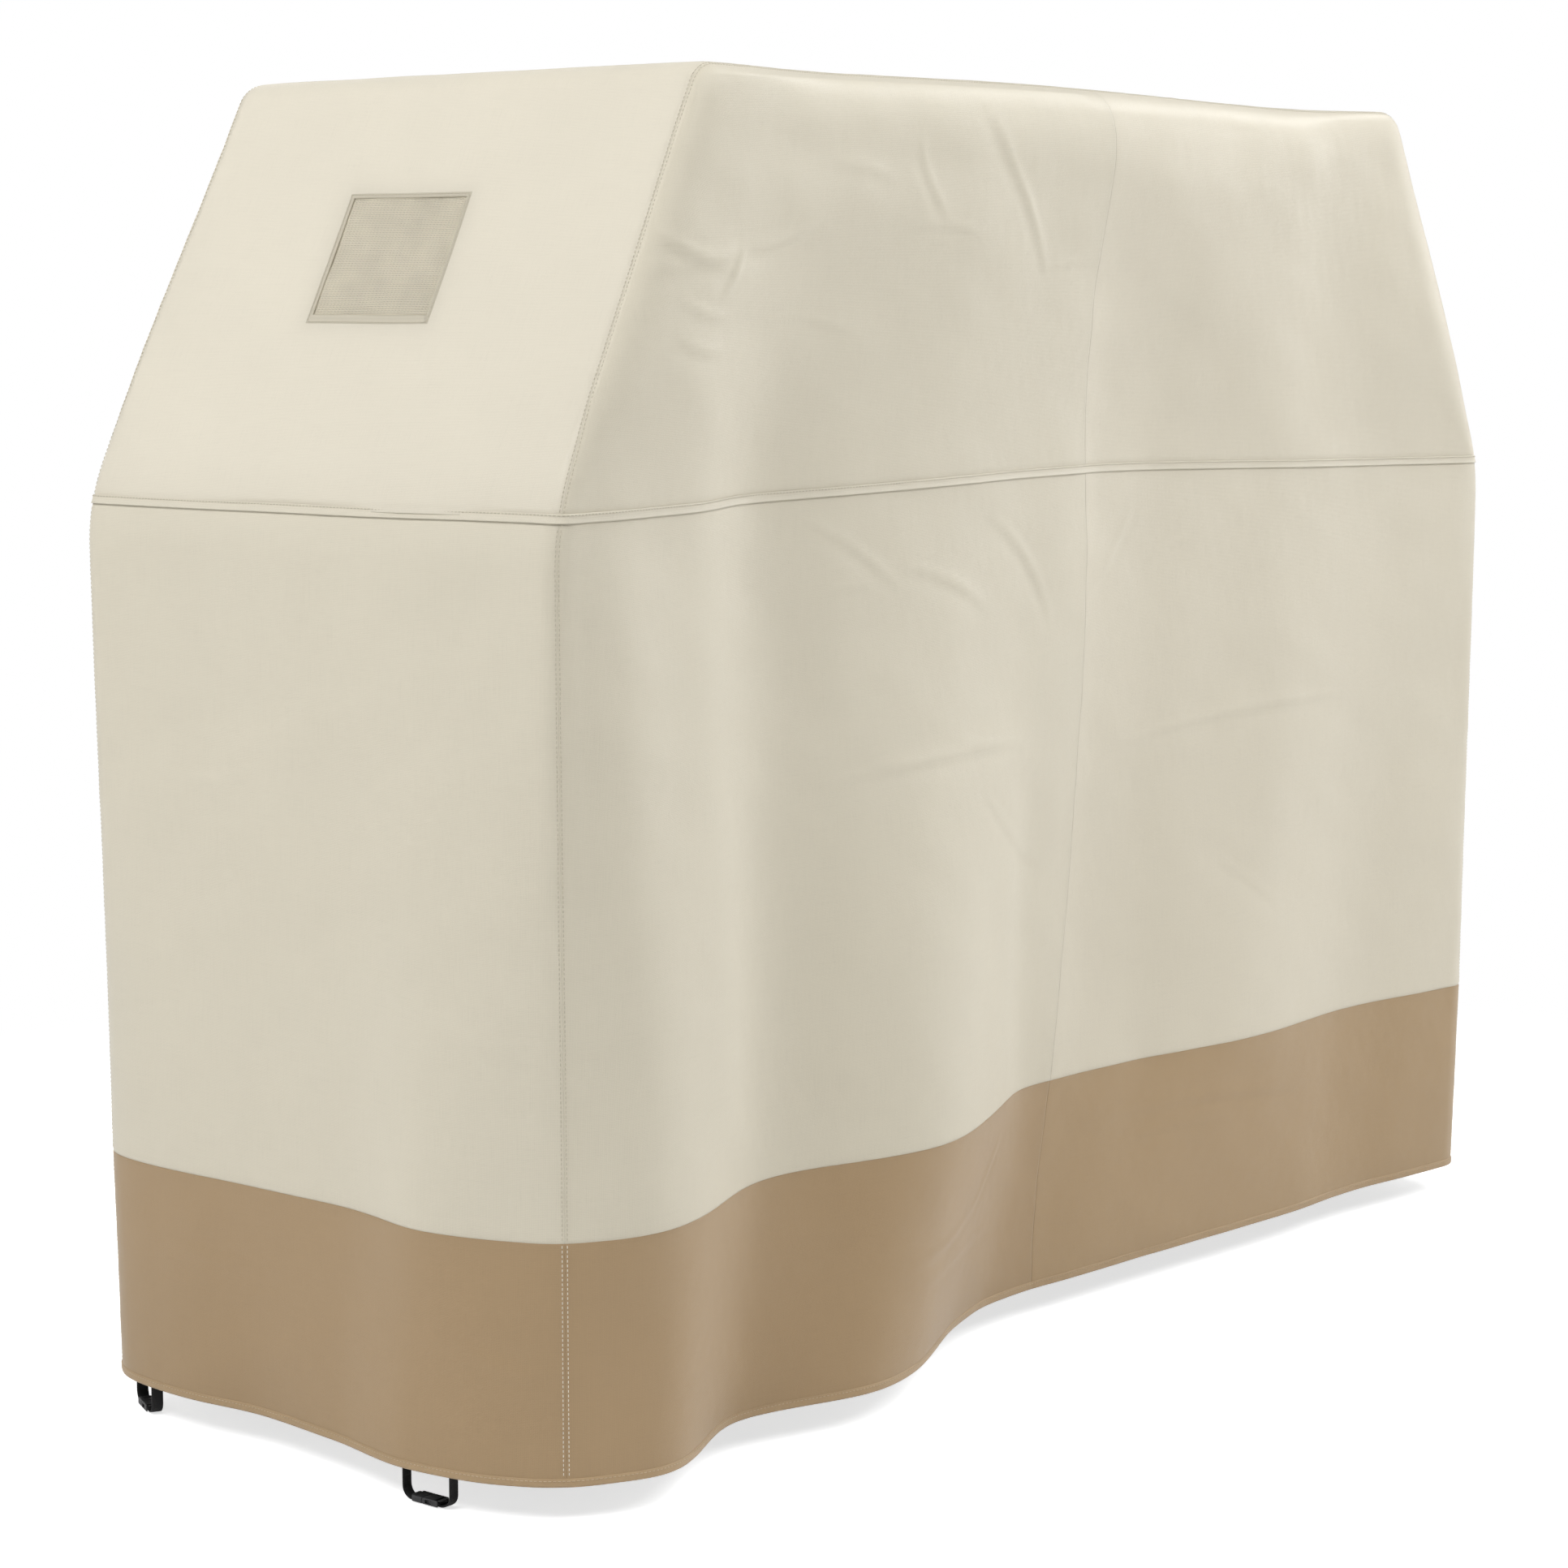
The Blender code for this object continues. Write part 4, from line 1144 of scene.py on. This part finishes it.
def webbing(name, strap, rows, material):
    """Ribbed flat webbing along a centre line."""
    origin, inward, along = strap_axes(strap)
    travel = travel_along(rows[:, :3])
    fine = np.linspace(0, travel[-1], int(travel[-1] / 0.00035))
    inn, ala, hei, tur = (np.interp(fine, travel, rows[:, k])[:, None] for k in range(4))
    centre = origin * (1, 1, 0) + inn * inward + ala * along + hei * (0.0, 0.0, 1.0)
    padded = np.pad(centre, ((3, 3), (0, 0)), "reflect", reflect_type="odd")
    smooth = np.array([np.convolve(padded[:, k], np.ones(7) / 7, "valid") for k in range(3)]).T
    tangent = unit(np.gradient(smooth, axis=0))
    wide = np.sin(tur * pi / 2) * inward + np.cos(tur * pi / 2) * along
    wide = unit(wide - tangent * (wide * tangent).sum(axis=1)[:, None])
    thin = np.cross(tangent, wide)
    half, thick = WEBBING_WIDTH / 2, WEBBING_THICKNESS / 2
    rib = 1 + 0.14 * np.cos(2 * pi * fine / 0.0014)
    rings = [smooth + wide * (a * half) + thin * (b * thick * rib)[:, None] for a, b in WEBBING_SECTION]
    grid = np.stack(rings, axis=1)
    count, sides = grid.shape[:2]
    faces = [tuple(f) for f in grid_faces(count, sides, closed_columns=True)]
    faces.append(tuple(range(sides)))
    faces.append(tuple(range((count - 1) * sides, count * sides))[::-1])
    cloth = points(np.linspace(0, WEBBING_WIDTH, sides)[None, :], fine[:, None], 0.0)
    item = make_piece(name, raised(grid), faces, material, cloth, np.zeros((count, sides)))
    return item


def build_strap(strap, material, plastic):
    """A loop's webbing, shaped round its turns at the hem and at the buckle, and its buckle's finish."""
    loop, plug_body = strap + "_loop", strap + "_plug"
    rows = leg_path(1)
    split = int(np.argmin(np.abs(rows[:, 2] - PLUG_SPLIT)))
    for suffix, rows, above, below, start, end, nodes in (
        ("socket_side_webbing", leg_path(-1), "cover", loop, -0.004, 0.014,
         ("socket_tab", "socket_webbing")),
        ("plug_side_webbing_top", rows[: split + 2], "cover", loop, -0.004, 0.0115, ("plug_tab",)),
        ("plug_side_webbing", rows[split:], loop, plug_body, 0.0115, 0.029, ("plug_webbing",)),
    ):
        item = webbing(f"{strap}_{suffix}", strap, rows, material)
        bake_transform(item)
        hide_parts(*(f"{strap}_{node}" for node in nodes))
    for part in ("socket", "plug", "inner_prong", "outer_prong"):
        node = frame["nodes"][f"{strap}_{part}"]
        node.data.materials.clear()
        node.data.materials.append(plastic)
        soften = node.modifiers.new("moulded_edges", "BEVEL")
        soften.width, soften.segments = 0.00025, 2
        soften.limit_method, soften.angle_limit = "ANGLE", radians(40)


# ---- build


def build_shell():
    # One cream and one tan cloth in copies of different tone: painted light on the top and the front's right
    # half, painted shade on the front's left half, the back, the lower ends and the end skirts.
    cream_shaded_left, cream_lit_right, cream_lit_top, cream_shaded_end, tan_shaded_left, tan_lit_right = (
        fabric(name, colour)
        for name, colour in (
            ("cream_cloth_painted_shade_left", (0.655, 0.605, 0.485)),
            ("cream_cloth_painted_light_right", (0.683, 0.630, 0.508)),
            ("cream_cloth_painted_light_top", (0.690, 0.640, 0.525)),
            ("cream_cloth_painted_shade_end", (0.670, 0.620, 0.500)),
            ("tan_cloth_painted_shade_left", (0.388, 0.267, 0.143)),
            ("tan_cloth_painted_light_right", (0.410, 0.285, 0.153)),
        )
    )
    lining = fabric("coated_inner_face", (0.60, 0.58, 0.52), roughness=0.42, sheen=0.05, weave=0.00005)
    cream_trim = fabric("cream_trim", (0.680, 0.630, 0.510), pitch=TRIM_PITCH)
    tan_trim = fabric("tan_trim", (0.435, 0.304, 0.168), pitch=TRIM_PITCH)

    skirt_rows = graded_both(SKIRT_TOP)
    lower_rows = SKIRT_TOP + graded_both(WAIST - SKIRT_TOP)
    slope_rows = WAIST + graded(TOP - 0.05 - WAIST)
    arc_rows = ARC_HEIGHT + TOP_CORNER_RADIUS * np.sin(np.linspace(END_TILT, pi / 2, 22))
    between = np.linspace(slope_rows[-1], arc_rows[0], 4)[1:-1]
    upper_rows = np.concatenate([slope_rows, between, arc_rows])
    left_pair, right_pair = (cream_shaded_left, tan_shaded_left), (cream_lit_right, tan_lit_right)
    for wall, way, pairs in (("front", -1, (left_pair, right_pair)), ("back", 1, (left_pair, left_pair))):
        for half, sign, (cream, tan) in (("left", -1, pairs[0]), ("right", 1, pairs[1])):
            for row, heights, reach, surface, cloth, slot in (
                ("upper", upper_rows, gable_half_length, gable, cream, "cream_fabric"),
                ("lower", lower_rows, wall_half_length, long_wall, cream, "cream_fabric"),
                ("skirt", skirt_rows, wall_half_length, long_wall, tan, "tan_fabric"),
            ):
                name = f"{wall}_{row}_{half}"
                long_panel(name, way, sign, heights, reach, surface, (cloth, lining), slot)
    for side, way in (("left", -1), ("right", 1)):
        end_panel(f"{side}_end_lower", way, lower_rows, (cream_shaded_end, lining), "cream_fabric")
        end_panel(f"{side}_end_skirt", way, skirt_rows, (tan_shaded_left, lining), "tan_fabric")
    top_panel((cream_lit_top, lining))

    band = [(WAIST + BAND_HALF_HEIGHT * height, out + BAND_LIFT) for height, out in BAND_SECTION]
    trim_ring("waist_band", band, WAIST, cream_trim, "cream_binding", "waist_seam_band")
    trim_ring("hem_fold", HEM_SECTION, HEM_LEVEL, tan_trim, "tan_binding", "hem_binding")


def build_thread():
    tone_on_tone = thread("cream_thread", (0.555, 0.505, 0.39))
    light = thread("light_thread", (0.80, 0.76, 0.66))
    hem_thread = thread("hem_thread", (0.57, 0.445, 0.285))
    waist_row = ring_row(WAIST + 0.62 * BAND_HALF_HEIGHT, WAIST, 0.0016)
    hem_row = ring_row(0.0060, HEM_LEVEL, 0.0010)
    vent_rows = vent_stitch_line(-1) + vent_stitch_line(1)
    for name, lines, material, slot, radius in (
        ("corner", corner_rows(SKIRT_TOP + 0.002, WAIST - 0.006), tone_on_tone, "cream", STITCH_RADIUS),
        ("skirt_corner", corner_rows(0.010, SKIRT_TOP - 0.001), light, "cream", STITCH_RADIUS),
        ("gable", gable_rows(), tone_on_tone, "cream", STITCH_RADIUS),
        ("waist", waist_row, tone_on_tone, "cream", STITCH_RADIUS),
        ("hem", hem_row, hem_thread, "tan", STITCH_RADIUS),
        ("vent", vent_rows, tone_on_tone, "cream", VENT_STITCH_RADIUS),
    ):
        stitches(name + "_stitching", lines, material, slot + "_binding", radius)


def build_vents():
    trim = fabric("vent_edge_cloth", (0.585, 0.535, 0.42), pitch=TRIM_PITCH)
    netting = thread("vent_netting", (0.85, 0.785, 0.63), mottle=0.16)
    for side in ("left", "right"):
        vent_frame(side, trim, "cream_binding")
        vent_threads(side, netting, "vent_mesh")


def build_straps():
    black = fabric("black_webbing_weave", (0.012, 0.012, 0.013), pitch=0.0007, roughness=0.7, sheen=0.15)
    plastic = moulded_plastic("buckle_plastic_moulded", (0.030, 0.030, 0.032))
    for end in ("left", "right"):
        for place in ("front", "back"):
            build_strap(f"{end}_{place}_strap", black, plastic)


# ---- stage


def area_light(name, place, size, power):
    lamp = bpy.data.lights.new(name, "AREA")
    lamp.shape = "RECTANGLE"
    lamp.size, lamp.size_y = size
    lamp.energy = power
    item = add_object(name, lamp)
    item.location = place
    item.rotation_euler = (Vector(AIM) - Vector(place)).to_track_quat("-Z", "Y").to_euler()


def camera_white(tree, shader_output):
    """Shows the camera pure white away from the middle of the floor."""
    length = add_node(tree, "VectorMath")
    length.operation = "LENGTH"
    plug(tree, add_node(tree, "NewGeometry").outputs["Position"], length.inputs[0])
    reach = add_node(tree, "MapRange", Value=length.outputs["Value"], From_Min=WHITE_FROM, From_Max=WHITE_TO)
    reach.interpolation_type = "SMOOTHSTEP"
    blend = add_node(tree, "MixShader")
    share = product(tree, reach.outputs["Result"], camera_ray(tree))
    for socket, value in zip(blend.inputs, (share, shader_output, add_node(tree, "Emission").outputs[0])):
        plug(tree, value, socket)
    plug(tree, blend.outputs[0], tree.nodes["Material Output"].inputs["Surface"])


def build_floor():
    material, tree, shader = node_tree("studio_floor")
    feed(tree, shader, Base_Color=(0.93, 0.93, 0.93, 1), Roughness=0.8, Emission_Color=(1, 1, 1, 1),
         Emission_Strength=product(tree, camera_ray(tree), FLOOR_GLOW))
    camera_white(tree, shader.outputs[0])
    mesh = bpy.data.meshes.new("floor")
    corners = [(x * FLOOR_REACH, y * FLOOR_REACH, FLOOR) for x, y in ((-1, -1), (1, -1), (1, 1), (-1, 1))]
    mesh.from_pydata(corners, [], [(0, 1, 2, 3)])
    mesh.materials.append(material)
    add_object("floor", mesh)


def build_world():
    """White to the camera, and a dim even fill for everything else."""
    world = bpy.data.worlds.new("studio")
    bpy.context.scene.world = world
    world.use_nodes = True
    tree = world.node_tree
    strength = remap(tree, camera_ray(tree), FILL, 1.0)
    feed(tree, tree.nodes["Background"], Color=(1, 1, 1, 1), Strength=strength)


def build_stage():
    build_floor()
    build_world()
    for light in LIGHTS:
        area_light(*light)
    bpy.context.scene.view_settings.view_transform = "Standard"


def build_camera():
    yaw, pitch = radians(CAMERA_YAW), radians(CAMERA_PITCH)
    forward = Vector((sin(yaw) * cos(pitch), cos(yaw) * cos(pitch), -sin(pitch)))
    lens = bpy.data.cameras.new("camera")
    lens.sensor_width = 36.0
    lens.lens = CAMERA_LENS
    camera = add_object("camera", lens)
    camera.location = CAMERA_PLACE
    camera.rotation_euler = forward.to_track_quat("-Z", "Y").to_euler()
    bpy.context.scene.camera = camera


build_shell()
build_vents()
build_thread()
build_straps()
build_stage()
build_camera()
